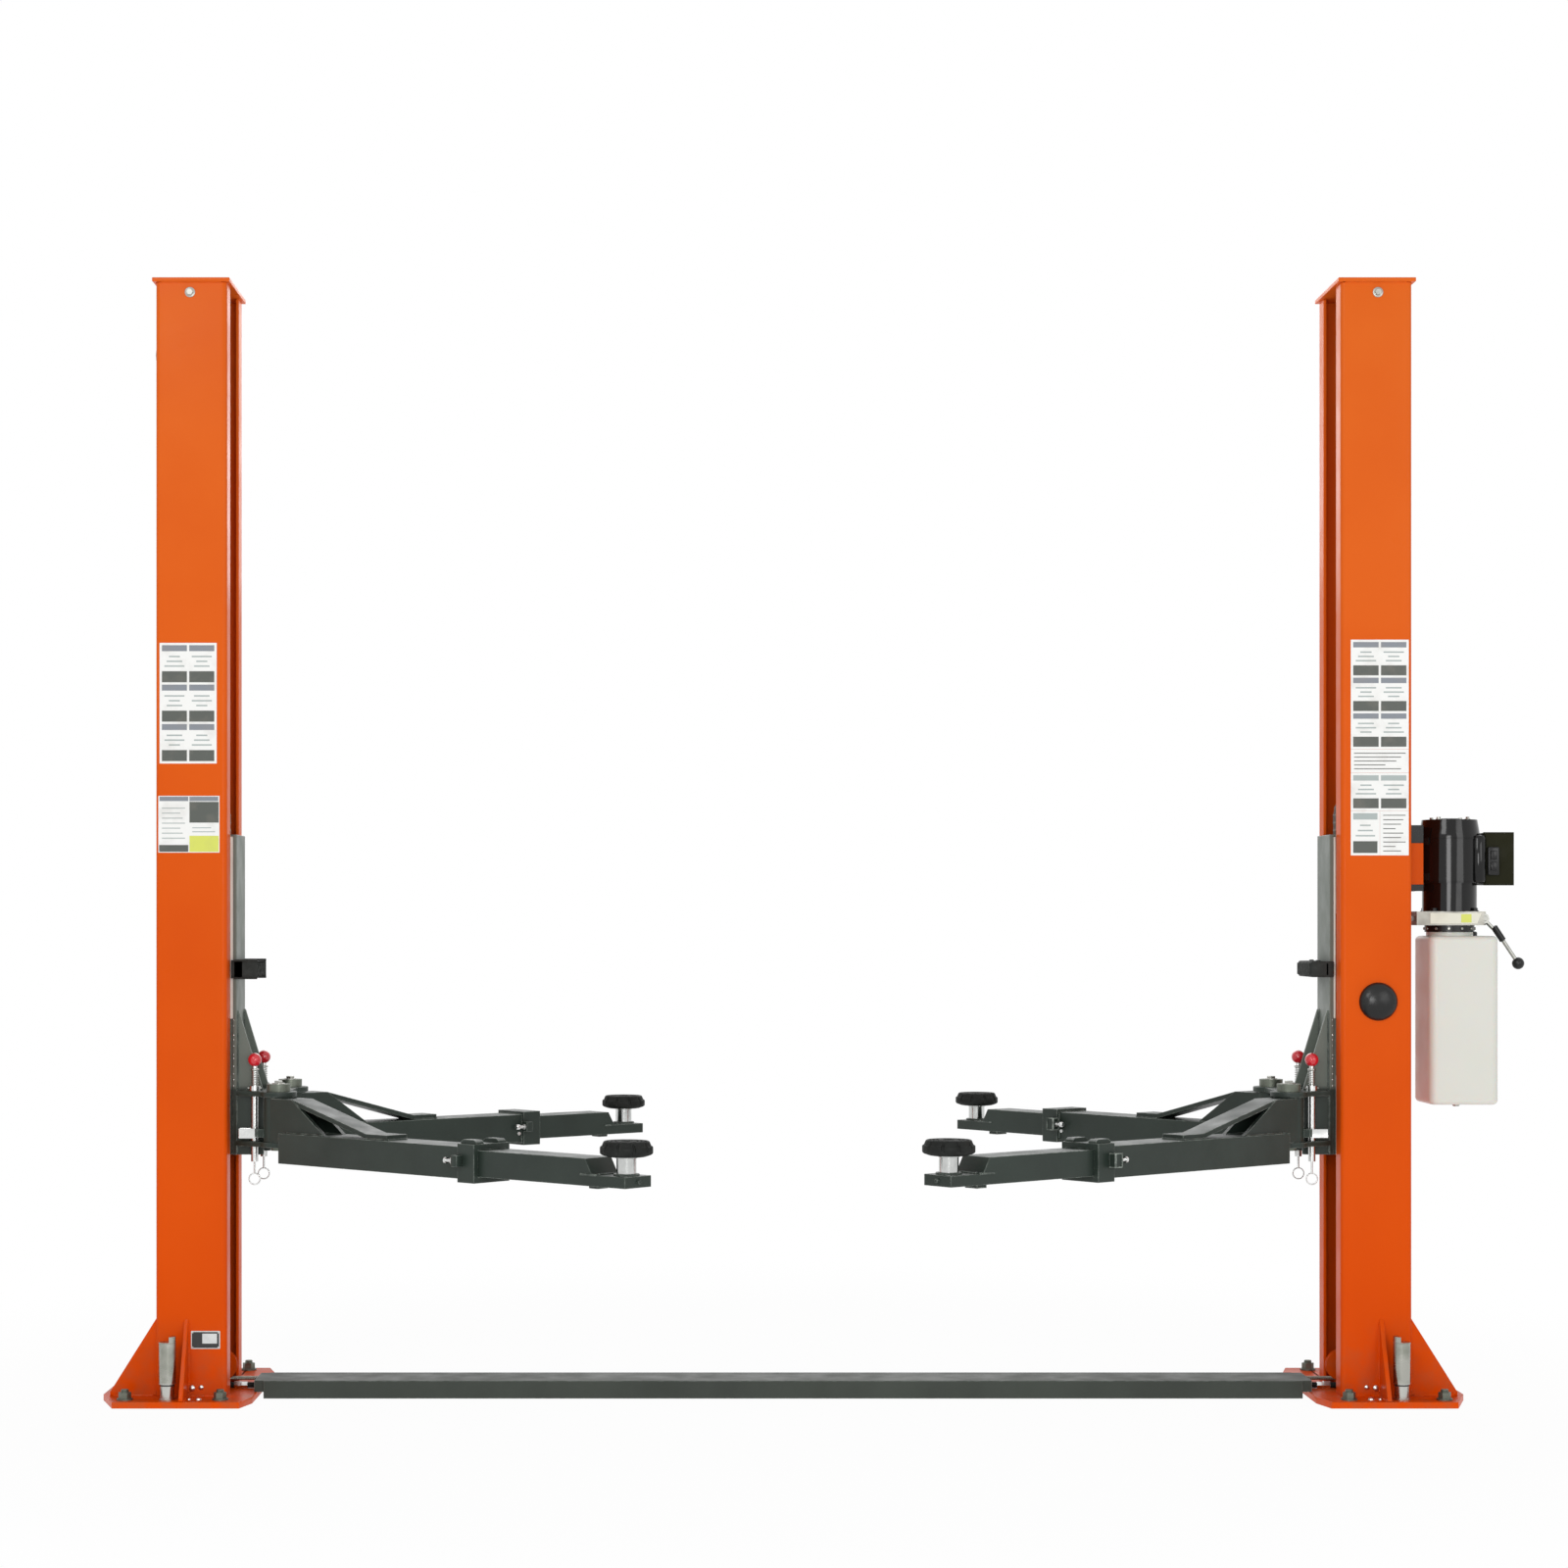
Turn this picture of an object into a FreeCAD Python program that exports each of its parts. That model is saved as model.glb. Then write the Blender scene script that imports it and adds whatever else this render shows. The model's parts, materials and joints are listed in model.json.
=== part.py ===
"""A two post car lift: two channel columns, two carriages and four telescoping arms.

Millimetres, +Z up. The origin is on the floor midway between the columns, +X runs to the
column that carries the power unit, and -Y is the side that a car drives in from.
"""
import FreeCAD, Part
import math
import os
import re

import Sketcher

SIZES = [
    ("bay_half", 1395, "column's inner face from the middle of the lift"),
    ("column_deep", 178, "column along X"),
    ("column_wide", 270, "column along Y"),
    ("column_wall", 8, "plate of the column"),
    ("column_bend", 12, "outer bend radius of the column"),
    ("slot_wide", 148, "opening between the column's lips"),
    ("column_top", 2806, "top of the column"),
    ("cap_thick", 10, "top cap plate"),
    ("cap_over", 8, "overhang of the top cap"),
    ("base_thick", 16, "base plate"),
    ("base_inner", 66, "base plate beyond the column's inner face"),
    ("base_outer", 137, "base plate beyond the column's outer face"),
    ("base_front", 230, "base plate before the middle plane"),
    ("base_rear", 350, "base plate behind the middle plane"),
    ("base_cut_x", 45, "outer corner cut along X"),
    ("base_cut_y", 130, "outer corner cut along Y"),
    ("base_nick_x", 22, "inner corner cut along X"),
    ("base_nick_y", 80, "inner corner cut along Y"),
    ("gusset_top", 194, "height of the gussets above the base plate"),
    ("gusset_reach", 117, "outer gusset along X"),
    ("gusset_thick", 8, "outer gusset plate"),
    ("rib_thick", 11, "front and rear rib"),
    ("rib_reach", 90, "front and rear rib along Y"),
    ("rib_place", 101, "rib's middle behind the column's inner face"),
    ("anchor_rad", 9, "anchor thread radius"),
    ("anchor_shank_rad", 8.2, "anchor shank in the base plate"),
    ("anchor_outer", 67, "outer anchors beyond the column's outer face"),
    ("anchor_inner", 8, "inner anchors behind the column's inner face"),
    ("anchor_front", 190, "front anchors before the middle plane"),
    ("anchor_rear", 310, "rear anchors behind the middle plane"),
    ("anchor_rise", 26, "stud above the base plate"),
    ("washer_rad", 20, "anchor washer radius"),
    ("washer_thick", 4, "anchor washer"),
    ("nut_rad", 16, "anchor nut across its corners, halved"),
    ("nut_high", 15, "anchor nut"),
    ("adapter_place", 140, "height adapters behind the column's inner face"),
    ("adapter_row", 186, "height adapters from the middle plane"),
    ("adapter_foot_rad", 18, "adapter's lower part radius"),
    ("adapter_foot", 39, "adapter's lower part"),
    ("adapter_rad", 21, "adapter's upper part radius"),
    ("adapter_high", 118, "adapter's upper part"),
    ("adapter_notch", 14, "notch at the adapter's top"),
    ("cover_gap", 17, "floor cover's end before the base plate"),
    ("cover_wide", 144, "floor cover along Y"),
    ("cover_high", 45, "floor cover"),
    ("cover_wall", 4, "plate of the floor cover"),
    ("tongue_lap", 7, "narrower tongue of the cover over the base plate"),
    ("tongue_wide", 132, "tongue along Y"),
    ("cylinder_place", 75, "cylinder axis behind the column's inner face"),
    ("barrel_rad", 42, "cylinder barrel radius"),
    ("barrel_top", 1130, "top of the cylinder barrel"),
    ("barrel_floor", 280, "bottom of the bore"),
    ("rod_rad", 25, "piston rod radius"),
    ("rod_low", 545, "lower end of the piston rod"),
    ("head_axle", 1476, "height of the chain sheave axle"),
    ("head_half", 30, "half width of the piston head"),
    ("head_gap", 2, "clearance beside the chain in the piston head"),
    ("wheel_gap", 0.9, "clearance under the chain in the piston head"),
    ("chain_sheave_rad", 54, "chain sheave radius"),
    ("chain_thick", 10, "lift chain"),
    ("chain_half", 18, "half width of the lift chain"),
    ("chain_front_low", 1165, "lower end of the chain's front run"),
    ("chain_rear_low", 300, "lower end of the chain's rear run"),
    ("cable_rad", 5, "equalizer cable radius"),
    ("cable_place", 74, "cable behind the column's inner face"),
    ("cable_row", 50, "long run of the cable from the middle plane"),
    ("top_sheave_rad", 76, "cable bend radius over the top sheave"),
    ("top_sheave_axle", 2640, "height of the top sheave's axle"),
    ("sheave_rim", 6, "rim of a cable sheave outside the cable's middle"),
    ("sheave_half", 7, "half width of a cable sheave"),
    ("base_sheave_rad", 34, "cable bend radius round the base sheave"),
    ("cable_low", 34, "height of the cable on the floor"),
    ("axle_rad", 12, "top sheave axle radius"),
    ("tab_thick", 8, "base sheave tab"),
    ("tab_half", 15, "half length of the base sheave tab"),
    ("tab_row", 62, "inner face of the tab from the middle plane"),
    ("tab_high", 64, "base sheave tab"),
    ("tab_pin_rad", 8, "base sheave pin radius"),
    ("hose_rad", 7, "hydraulic hose radius"),
    ("hose_low", 24, "height of the hose on the floor"),
    ("fit_gap", 0.3, "clearance at pins and seats"),
    ("slide_gap", 0.5, "clearance at sliding faces"),
    ("face_gap", 6, "clearance between the carriage face and the column's lips"),
    ("carriage_low", 616, "bottom of the carriage"),
    ("carriage_high", 1424, "top of the carriage"),
    ("carriage_half", 74, "half width of the carriage face"),
    ("carriage_wall", 10, "carriage face plate"),
    ("carriage_leg", 8, "carriage leg through the column's slot"),
    ("leg_outer", 68, "outer face of the legs from the middle plane"),
    ("wing_reach", 118, "end of the wings from the middle plane"),
    ("wing_thick", 10, "carriage wing behind the column's lips"),
    ("block_lip", 7.5, "slide block between the lip and the wing"),
    ("block_long", 60, "slide block along the column's side"),
    ("block_high", 200, "height of each slide block"),
    ("strip_edge", 72.5, "slide strip beside the slot from the middle plane"),
    ("bumper_low", 1064, "bottom of the door bumper"),
    ("bumper_high", 40, "door bumper"),
    ("bumper_deep", 52, "door bumper in front of the carriage"),
    ("bumper_half", 82, "half width of the door bumper"),
    ("bumper_wrap", 10, "door bumper round the edges of the carriage face"),
    ("pivot_in", 111, "arm pivots inside the carriage face"),
    ("pivot_row", 115, "arm pivots from the middle plane"),
    ("pivot_pin_rad", 19, "arm pivot pin radius"),
    ("pivot_pin_end", 9, "pivot pin below the lower bracket plate"),
    ("pivot_head_rad", 30, "head of the pivot pin"),
    ("pivot_head", 19, "thickness of the pivot pin's head"),
    ("shelf_rad", 46, "bracket plate round a pivot"),
    ("shelf_low", 639, "underside of the lower bracket plate"),
    ("shelf_top", 765, "underside of the upper bracket plate"),
    ("shelf_thick", 13, "bracket plate"),
    ("cheek_long", 67, "bracket side plates inside the carriage face"),
    ("cheek_outer", 70, "outer face of the bracket side plates"),
    ("cheek_thick", 10, "bracket side plate"),
    ("brace_high", 202, "triangular gusset above the upper bracket plate"),
    ("brace_long", 65, "triangular gusset inside the carriage face"),
    ("brace_tip", 4, "width of the triangular gusset at its top"),
    ("lock_in", 47, "lock pins inside the carriage face"),
    ("lock_row", 84, "lock pins from the middle plane"),
    ("lock_rad", 9, "lock pin radius"),
    ("lock_low", 600, "lower end of the lock pin"),
    ("lock_collar_rad", 14, "collar on the lock pin"),
    ("lock_collar", 12, "thickness of the lock pin's collar"),
    ("knob_rod_rad", 6, "rod under the knob"),
    ("knob_height", 856, "middle of the ball knob"),
    ("knob_rad", 17, "ball knob radius"),
    ("knob_seat", 3, "end of the rod inside the knob"),
    ("loop_bend", 14, "pull loop's radius"),
    ("loop_wire", 1.6, "pull loop's wire radius"),
    ("loop_drop", 44, "middle of the pull loop below the lock pin"),
    ("loop_neck_rad", 2.5, "neck between the lock pin and its pull loop"),
    ("boss_rad", 38, "arm boss radius"),
    ("gear_rad", 54, "toothed restraint on the arm boss"),
    ("gear_low", 664, "underside of the toothed restraint"),
    ("gear_thick", 20, "toothed restraint"),
    ("gear_turn", 130, "angle of the toothed restraint"),
    ("tube_start", 58, "arm tube's inner end from the pivot"),
    ("tube_end", 761, "arm tube's outer end from the pivot"),
    ("tube_low", 603, "underside of the arm tube"),
    ("tube_high", 75, "arm tube"),
    ("tube_wide", 100, "arm tube's width"),
    ("tube_wall", 6, "plate of the arm tube"),
    ("collar_long", 48, "collar round the arm tube's end"),
    ("collar_thick", 8, "plate of the collar"),
    ("web_inner", 26, "inner face of the knuckle webs from the arm's middle"),
    ("web_thick", 10, "knuckle web"),
    ("web_long", 215, "knuckle webs from the pivot"),
    ("web_gap", 2.5, "knuckle webs below the boss's top"),
    ("strap_half", 33, "half width of the brace strap"),
    ("strap_thick", 12, "brace strap"),
    ("strap_flat", 92, "level part of the strap from the pivot"),
    ("strap_foot", 366, "strap reaches the tube's top"),
    ("strap_end", 440, "strap's welded end"),
    ("inner_wide", 86, "sliding tube's width"),
    ("inner_back", 605, "sliding tube's inner end behind the pad axis"),
    ("inner_front", 88, "sliding tube's upper end behind the pad axis"),
    ("inner_slant", 36, "slant of the sliding tube's end"),
    ("tongue_thick", 26, "end plate that carries the pad"),
    ("tongue_back", 120, "end plate behind the pad axis"),
    ("tongue_nose", 36, "end plate beyond the pad axis"),
    ("post_rad", 22.5, "pad post radius"),
    ("post_high", 42, "pad post above the end plate"),
    ("pad_rad", 60, "rubber pad radius"),
    ("pad_high", 36, "rubber pad"),
    ("pad_rim", 5, "bevel of the rubber pad"),
    ("swing_front_left", 42.4, "front left arm from the line between the columns"),
    ("swing_rear_left", 40.2, "rear left arm from that line"),
    ("swing_front_right", 40, "front right arm from that line"),
    ("swing_rear_right", 51.5, "rear right arm from that line"),
    ("reach_front_left", 1203, "front left pad from its pivot"),
    ("reach_rear_left", 1110, "rear left pad from its pivot"),
    ("reach_front_right", 1203, "front right pad from its pivot"),
    ("reach_rear_right", 1090, "rear right pad from its pivot"),
    ("dome_rad", 48, "lock cover radius"),
    ("dome_deep", 24, "lock cover"),
    ("dome_place", 93, "lock cover behind the column's inner face"),
    ("dome_height", 1004, "middle of the lock cover"),
    ("motor_axis", 127, "motor axis beyond the column's outer face"),
    ("motor_rad", 77, "motor radius"),
    ("motor_neck_rad", 68, "motor's lower part radius"),
    ("pump_low", 1195, "underside of the pump block"),
    ("pump_high", 35, "pump block"),
    ("pump_in", 29, "pump block's near face beyond the column's outer face"),
    ("pump_long", 170, "pump block along X"),
    ("pump_half", 62, "half width of the pump block"),
    ("neck_high", 72, "motor's lower part"),
    ("motor_high", 116, "motor's middle part"),
    ("cap_high", 45, "motor's top cap"),
    ("cap_taper", 8, "taper of the motor's top cap"),
    ("flange_high", 17, "black flange under the pump block"),
    ("flange_rad", 62, "flange radius"),
    ("tank_long", 175, "oil tank along X"),
    ("tank_shift", 17, "oil tank's middle beyond the motor axis"),
    ("tank_neck_high", 10, "oil tank's neck under the flange"),
    ("tank_neck_rad", 58, "oil tank's neck radius"),
    ("tank_half", 87.5, "half width of the oil tank"),
    ("tank_high", 426, "oil tank"),
    ("tank_bend", 22, "radius of the oil tank's upright edges"),
    ("tank_edge", 12, "radius of the oil tank's top and bottom edges"),
    ("mount_drop", 20, "motor bracket's underside below the motor's middle part"),
    ("mount_high", 166, "motor bracket"),
    ("mount_half", 46, "half width of the motor bracket"),
    ("box_drop", 5, "control box's underside below the motor's middle part"),
    ("box_high", 133, "control box"),
    ("box_long", 76, "control box along X"),
    ("box_half", 42, "half width of the control box"),
    ("lever_rad", 5, "release lever radius"),
    ("lever_up", 17, "lever's pivot above the pump block's underside"),
    ("lever_drop", 114, "lever's ball below its pivot"),
    ("lever_out", 89, "lever's ball beyond its pivot"),
    ("lever_knee_drop", 40, "lever's knee below its pivot"),
    ("lever_knee_out", 40, "lever's knee beyond its pivot"),
    ("lever_ball_rad", 15, "lever's ball radius"),
    ("lever_boss_rad", 13, "lever's hub radius"),
    ("lever_boss_half", 11, "half width of the lever's hub"),
    ("lever_gap", 1, "clearance between the lever's hub and the pump block"),
]
EXPRESSION_WORDS = {"cos", "sin", "atan", "sqrt", "deg", "placement", "vector", "rotation"}
# A sketch starts on a circle this big and is then pulled to its sizes
ROUGH_RAD = 100
# Points nearer than this are the same point
NEAR = 0.01
AXIS_TURNS = {
    "x": FreeCAD.Rotation(FreeCAD.Vector(0, 1, 0), 90),
    "y": FreeCAD.Rotation(FreeCAD.Vector(1, 0, 0), -90),
    "z": FreeCAD.Rotation(),
}

doc = FreeCAD.newDocument("two_post_car_lift")
sheet = doc.addObject("Spreadsheet::Sheet", "sizes")
for row, (alias, value, meaning) in enumerate(SIZES, start=1):
    sheet.set(f"A{row}", meaning)
    sheet.set(f"B{row}", str(value))
    sheet.setAlias(f"B{row}", alias)
doc.recompute()


def tied(formula):
    """The formula with each of its size names read from the sheet."""
    def name(found):
        word = found.group()
        return word if word in EXPRESSION_WORDS else "sizes." + word
    return re.sub(r"[a-z]\w*", name, str(formula))


def size(alias):
    return float(sheet.get(alias))


def place(solid, x=None, y=None, z=None):
    """Tie the place of a solid to three formulas."""
    for letter, formula in (("x", x), ("y", y), ("z", z)):
        if formula is not None:
            solid.setExpression("Placement.Base." + letter, tied(formula))


def box(name, x, y, z):
    """A box from its (low, high) formulas along X, Y and Z."""
    solid = doc.addObject("Part::Box", name)
    for prop, (low, high) in (("Length", x), ("Width", y), ("Height", z)):
        solid.setExpression(prop, tied(f"({high}) - ({low})"))
    place(solid, x[0], y[0], z[0])
    return solid


def rod(name, radius, x, y, z):
    """A round bar: the one of x, y and z that is a (low, high) pair is its axis."""
    axis = next(letter for letter, given in zip("xyz", (x, y, z)) if isinstance(given, tuple))
    low, high = {"x": x, "y": y, "z": z}[axis]
    solid = doc.addObject("Part::Cylinder", name)
    solid.Placement = FreeCAD.Placement(FreeCAD.Vector(), AXIS_TURNS[axis])
    solid.setExpression("Radius", tied(radius))
    solid.setExpression("Height", tied(f"({high}) - ({low})"))
    ends = [given[0] if isinstance(given, tuple) else given for given in (x, y, z)]
    place(solid, *ends)
    return solid


def ball(name, radius, x, y, z):
    solid = doc.addObject("Part::Sphere", name)
    solid.setExpression("Radius", tied(radius))
    place(solid, x, y, z)
    return solid


def elbow(name, bend, wire, centre, axis, start, sweep):
    """A bent round bar: `sweep` degrees of a ring about `axis`, from the angle `start` on."""
    ring = doc.addObject("Part::Torus", name)
    first = FreeCAD.Rotation(FreeCAD.Vector(0, 0, 1), start)
    ring.Placement = FreeCAD.Placement(FreeCAD.Vector(), AXIS_TURNS[axis].multiply(first))
    ring.setExpression("Radius1", tied(bend))
    ring.setExpression("Radius2", tied(wire))
    ring.Angle3 = sweep
    place(ring, *centre)
    return ring


def strut(name, radius, low, high):
    """A round bar in the middle plane between two (x, z) places, the lower one first."""
    across = f"(({high[0]}) - ({low[0]}))"
    rise = f"(({high[1]}) - ({low[1]}))"
    solid = doc.addObject("Part::Cylinder", name)
    solid.setExpression("Radius", tied(radius))
    solid.setExpression("Height", tied(f"sqrt({across} * {across} + {rise} * {rise})"))
    solid.setExpression("Placement", tied(
        f"placement(vector({low[0]}; 0; {low[1]}); rotation(vector(0; 1; 0); atan({across} / {rise})))"))
    return solid


def outline(body, name, role, corners, offset=None):
    """A closed sketch on one of the body's own planes, each corner tied to two formulas."""
    sketch = body.newObject("Sketcher::SketchObject", name)
    sketch.AttachmentSupport = [(origin_part(body, role), "")]
    sketch.MapMode = "FlatFace"
    if offset is not None:
        sketch.setExpression("AttachmentOffset.Base.z", tied(offset))
    count = len(corners)
    step = 2 * math.pi / count
    rough = [FreeCAD.Vector(ROUGH_RAD * math.cos(step * i), ROUGH_RAD * math.sin(step * i), 0)
             for i in range(count)]
    for i in range(count):
        sketch.addGeometry(Part.LineSegment(rough[i], rough[(i + 1) % count]), False)
    for i in range(count):
        sketch.addConstraint(Sketcher.Constraint("Coincident", i, 2, (i + 1) % count, 1))
    for i, (across, along) in enumerate(corners):
        for kind, start, formula in (("DistanceX", rough[i].x, across), ("DistanceY", rough[i].y, along)):
            number = sketch.addConstraint(Sketcher.Constraint(kind, -1, 1, i, 1, start))
            sketch.setExpression(f"Constraints[{number}]", tied(formula))
    sketch.Visibility = False
    return sketch


def origin_part(body, role):
    return next(part for part in body.Origin.OriginFeatures if part.Role == role)


def plate(name, role, corners, low, high):
    """A flat outline on a plane, thickened from `low` to `high` along the plane's row axis."""
    body = doc.addObject("PartDesign::Body", name)
    offset = f"-1 * ({high})" if role == "XZ_Plane" else low
    sketch = outline(body, name + "_outline", role, corners, offset)
    pad = body.newObject("PartDesign::Pad", name + "_pad")
    pad.Profile = sketch
    pad.setExpression("Length", tied(f"({high}) - ({low})"))
    body.Tip = pad
    return body


def turned(name, corners):
    """A half profile of (radius, height) corners, turned about the upright axis."""
    body = doc.addObject("PartDesign::Body", name)
    sketch = outline(body, name + "_outline", "XZ_Plane", corners)
    spin = body.newObject("PartDesign::Revolution", name + "_spin")
    spin.Profile = sketch
    spin.ReferenceAxis = (origin_part(body, "Z_Axis"), [""])
    spin.Angle = 360
    body.Tip = spin
    return body


def round_edges(body, radius, wanted):
    """Round the body's edges whose two end points are wanted."""
    doc.recompute()
    base = body.Tip
    names = [f"Edge{number}" for number, edge in enumerate(base.Shape.Edges, start=1)
             if wanted(edge.Vertexes[0].Point, edge.Vertexes[-1].Point)]
    bend = body.newObject("PartDesign::Fillet", body.Name + "_bend" + str(len(body.Group)))
    bend.Base = (base, names)
    bend.setExpression("Radius", tied(radius))
    body.Tip = bend


def round_uprights(body, radius, corners):
    """Round the body's upright edges that stand at the given (x, y) places."""
    def wanted(low, high):
        upright = abs(low.x - high.x) < NEAR and abs(low.y - high.y) < NEAR
        return upright and any(abs(low.x - x) < NEAR and abs(low.y - y) < NEAR for x, y in corners)
    round_edges(body, radius, wanted)


def round_levels(body, radius, heights):
    """Round all of the body's edges that lie at the given heights."""
    def wanted(low, high):
        return abs(low.z - high.z) < NEAR and any(abs(low.z - z) < NEAR for z in heights)
    round_edges(body, radius, wanted)


def fused(name, pieces):
    whole = doc.addObject("Part::MultiFuse", name)
    whole.Shapes = pieces
    whole.Refine = True
    return whole


def grouped(name, pieces):
    """Like pieces that don't touch, kept as one named sub-part."""
    group = doc.addObject("Part::Compound", name)
    group.Links = pieces
    return group


def less(name, whole, tools):
    result = doc.addObject("Part::Cut", name)
    result.Base = whole
    result.Tool = tools[0] if len(tools) == 1 else grouped(name + "_tools", tools)
    return result


def flipped(name, source, normal=(1, 0, 0)):
    """The mirror image across the middle plane with this normal."""
    image = doc.addObject("Part::Mirroring", name)
    image.Source = source
    image.Base = FreeCAD.Vector(0, 0, 0)
    image.Normal = FreeCAD.Vector(*normal)
    return image


def posed(name, source, x, y, turn):
    """A copy of a piece modelled about the origin, turned about Z and moved to (x, y)."""
    copy = doc.addObject("Part::Compound", name)
    copy.Links = [source]
    copy.setExpression("Placement", tied(
        f"placement(vector({x}; {y}; 0); rotation(vector(0; 0; 1); {turn}))"))
    return copy


def four_ways(name, piece):
    """The piece at the front and the rear of both columns."""
    rear = flipped(name + "_rear", piece, (0, 1, 0))
    pair = grouped(name + "_pair", [piece, rear])
    return grouped(name, [pair, flipped(name + "_left", pair)])


def both_sides(name, piece):
    return grouped(name, [piece, flipped(name + "_left", piece)])


# Places that many pieces share
COLUMN_BACK = "(bay_half + column_deep)"
COLUMN_SIDE = "(column_wide / 2)"
FACE = "(bay_half - face_gap - carriage_wall)"
FACE_BACK = "(bay_half - face_gap)"
LIP_BACK = "(bay_half + column_wall)"
WING = "(bay_half + column_wall + slide_gap + block_lip)"
PIVOT = "(bay_half - face_gap - carriage_wall - pivot_in)"
LOCK = "(bay_half - face_gap - carriage_wall - lock_in)"
CYLINDER = "(bay_half + cylinder_place)"
POWER = "(bay_half + column_deep + motor_axis)"
nodes = {}


def make_columns():
    inner_back = f"({COLUMN_BACK} - column_wall)"
    inner_side = f"({COLUMN_SIDE} - column_wall)"
    lip = "(slot_wide / 2)"
    half = [("bay_half", lip), ("bay_half", COLUMN_SIDE), (COLUMN_BACK, COLUMN_SIDE)]
    inside = [(LIP_BACK, lip), (LIP_BACK, inner_side), (inner_back, inner_side)]
    corners = half + [(x, f"-1 * {y}") for x, y in reversed(half)]
    corners += [(x, f"-1 * {y}") for x, y in inside] + list(reversed(inside))
    column = plate("right_column", "XY_Plane", corners, "base_thick", "column_top")
    x_in, x_out = size("bay_half"), size("bay_half") + size("column_deep")
    y_out, wall = size("column_wide") / 2, size("column_wall")
    round_uprights(column, "column_bend", [(x, y) for x in (x_in, x_out) for y in (-y_out, y_out)])
    round_uprights(column, "column_bend - column_wall", [
        (x, y) for x in (x_in + wall, x_out - wall) for y in (wall - y_out, y_out - wall)])
    nodes["right_column"] = column
    nodes["left_column"] = flipped("left_column", column)
    cap = box("right_cap", ("bay_half - cap_over", f"{COLUMN_BACK} + cap_over"),
              (f"-1 * {COLUMN_SIDE} - cap_over", f"{COLUMN_SIDE} + cap_over"),
              ("column_top", "column_top + cap_thick"))
    nodes["top_caps"] = both_sides("top_caps", cap)


def make_anchor(name, x, y):
    """A stud with its washer and nut: the thread shows above the nut, a thinner shank fills the hole."""
    washer_top = "(base_thick + washer_thick)"
    nut_top = f"({washer_top} + nut_high)"
    shank = rod(f"shank_{name}", "anchor_shank_rad", x, y, ("0", nut_top))
    thread = rod(f"thread_{name}", "anchor_rad", x, y, (nut_top, "base_thick + anchor_rise"))
    washer = rod(f"washer_{name}", "washer_rad", x, y, ("base_thick", washer_top))
    nut = doc.addObject("Part::Prism", f"nut_{name}")
    nut.Polygon = 6
    nut.setExpression("Circumradius", tied("nut_rad"))
    nut.setExpression("Height", tied("nut_high"))
    place(nut, x, y, washer_top)
    return fused(f"anchor_{name}", [shank, thread, washer, nut])


def make_bases():
    low_x, high_x = "(bay_half - base_inner)", f"({COLUMN_BACK} + base_outer)"
    slab = plate("base_slab", "XY_Plane", [
        (low_x, "base_rear - base_nick_y"), (f"{low_x} + base_nick_x", "base_rear"),
        (f"{high_x} - base_cut_x", "base_rear"), (high_x, "base_rear - base_cut_y"),
        (high_x, "base_cut_y - base_front"), (f"{high_x} - base_cut_x", "-1 * base_front"),
        (f"{low_x} + base_nick_x", "-1 * base_front"), (low_x, "base_nick_y - base_front")],
        "0", "base_thick")
    holes, anchors = [], []
    for side, x in (("outer", f"{COLUMN_BACK} + anchor_outer"), ("inner", "bay_half + anchor_inner")):
        for end, y in (("front", "-1 * anchor_front"), ("rear", "anchor_rear")):
            name = f"{side}_{end}"
            holes.append(rod(f"anchor_hole_{name}", "anchor_rad + fit_gap", x, y, ("0", "base_thick")))
            anchors.append(make_anchor(name, x, y))
    nodes["base_plates"] = both_sides("base_plates", less("right_base", slab, holes))
    nodes["anchor_bolts"] = both_sides("anchor_bolts", grouped("right_anchors", anchors))

    foot_top = "base_thick + adapter_foot"
    adapter_x = "bay_half + adapter_place"
    foot = rod("adapter_foot_part", "adapter_foot_rad", adapter_x, "adapter_row", ("base_thick", foot_top))
    body = rod("adapter_body", "adapter_rad", adapter_x, "adapter_row",
               (foot_top, f"{foot_top} + adapter_high"))
    notch = box("adapter_notch_part", (f"{adapter_x} - adapter_notch / 2", f"{adapter_x} + adapter_rad"),
                ("adapter_row - adapter_rad", "adapter_row + adapter_rad"),
                (f"{foot_top} + adapter_high - adapter_notch", f"{foot_top} + adapter_high"))
    adapter = less("adapter", fused("adapter_bar", [foot, body]), [notch])
    nodes["height_adapters"] = four_ways("height_adapters", adapter)

    gusset = plate("gusset", "XZ_Plane", [
        (COLUMN_BACK, "base_thick"), (f"{COLUMN_BACK} + gusset_reach", "base_thick"),
        (f"{COLUMN_BACK} + gusset_reach", "base_thick + gusset_thick"),
        (COLUMN_BACK, "base_thick + gusset_top")],
        f"{COLUMN_SIDE} - column_bend - gusset_thick", f"{COLUMN_SIDE} - column_bend")
    rib = plate("rib", "YZ_Plane", [
        (COLUMN_SIDE, "base_thick"), (f"{COLUMN_SIDE} + rib_reach", "base_thick"),
        (f"{COLUMN_SIDE} + rib_reach", "base_thick + gusset_thick"),
        (COLUMN_SIDE, "base_thick + gusset_top")],
        "bay_half + rib_place - rib_thick / 2", "bay_half + rib_place + rib_thick / 2")
    tab_x = "(bay_half + cable_place - base_sheave_rad)"
    tab = box("sheave_tab", (f"{tab_x} - tab_half", f"{tab_x} + tab_half"),
              ("tab_row", "tab_row + tab_thick"), ("base_thick", "base_thick + tab_high"))
    nodes["column_gussets"] = grouped("column_gussets", [
        four_ways("gussets", grouped("gusset_and_rib", [gusset, rib])), both_sides("sheave_tabs", tab)])


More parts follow.
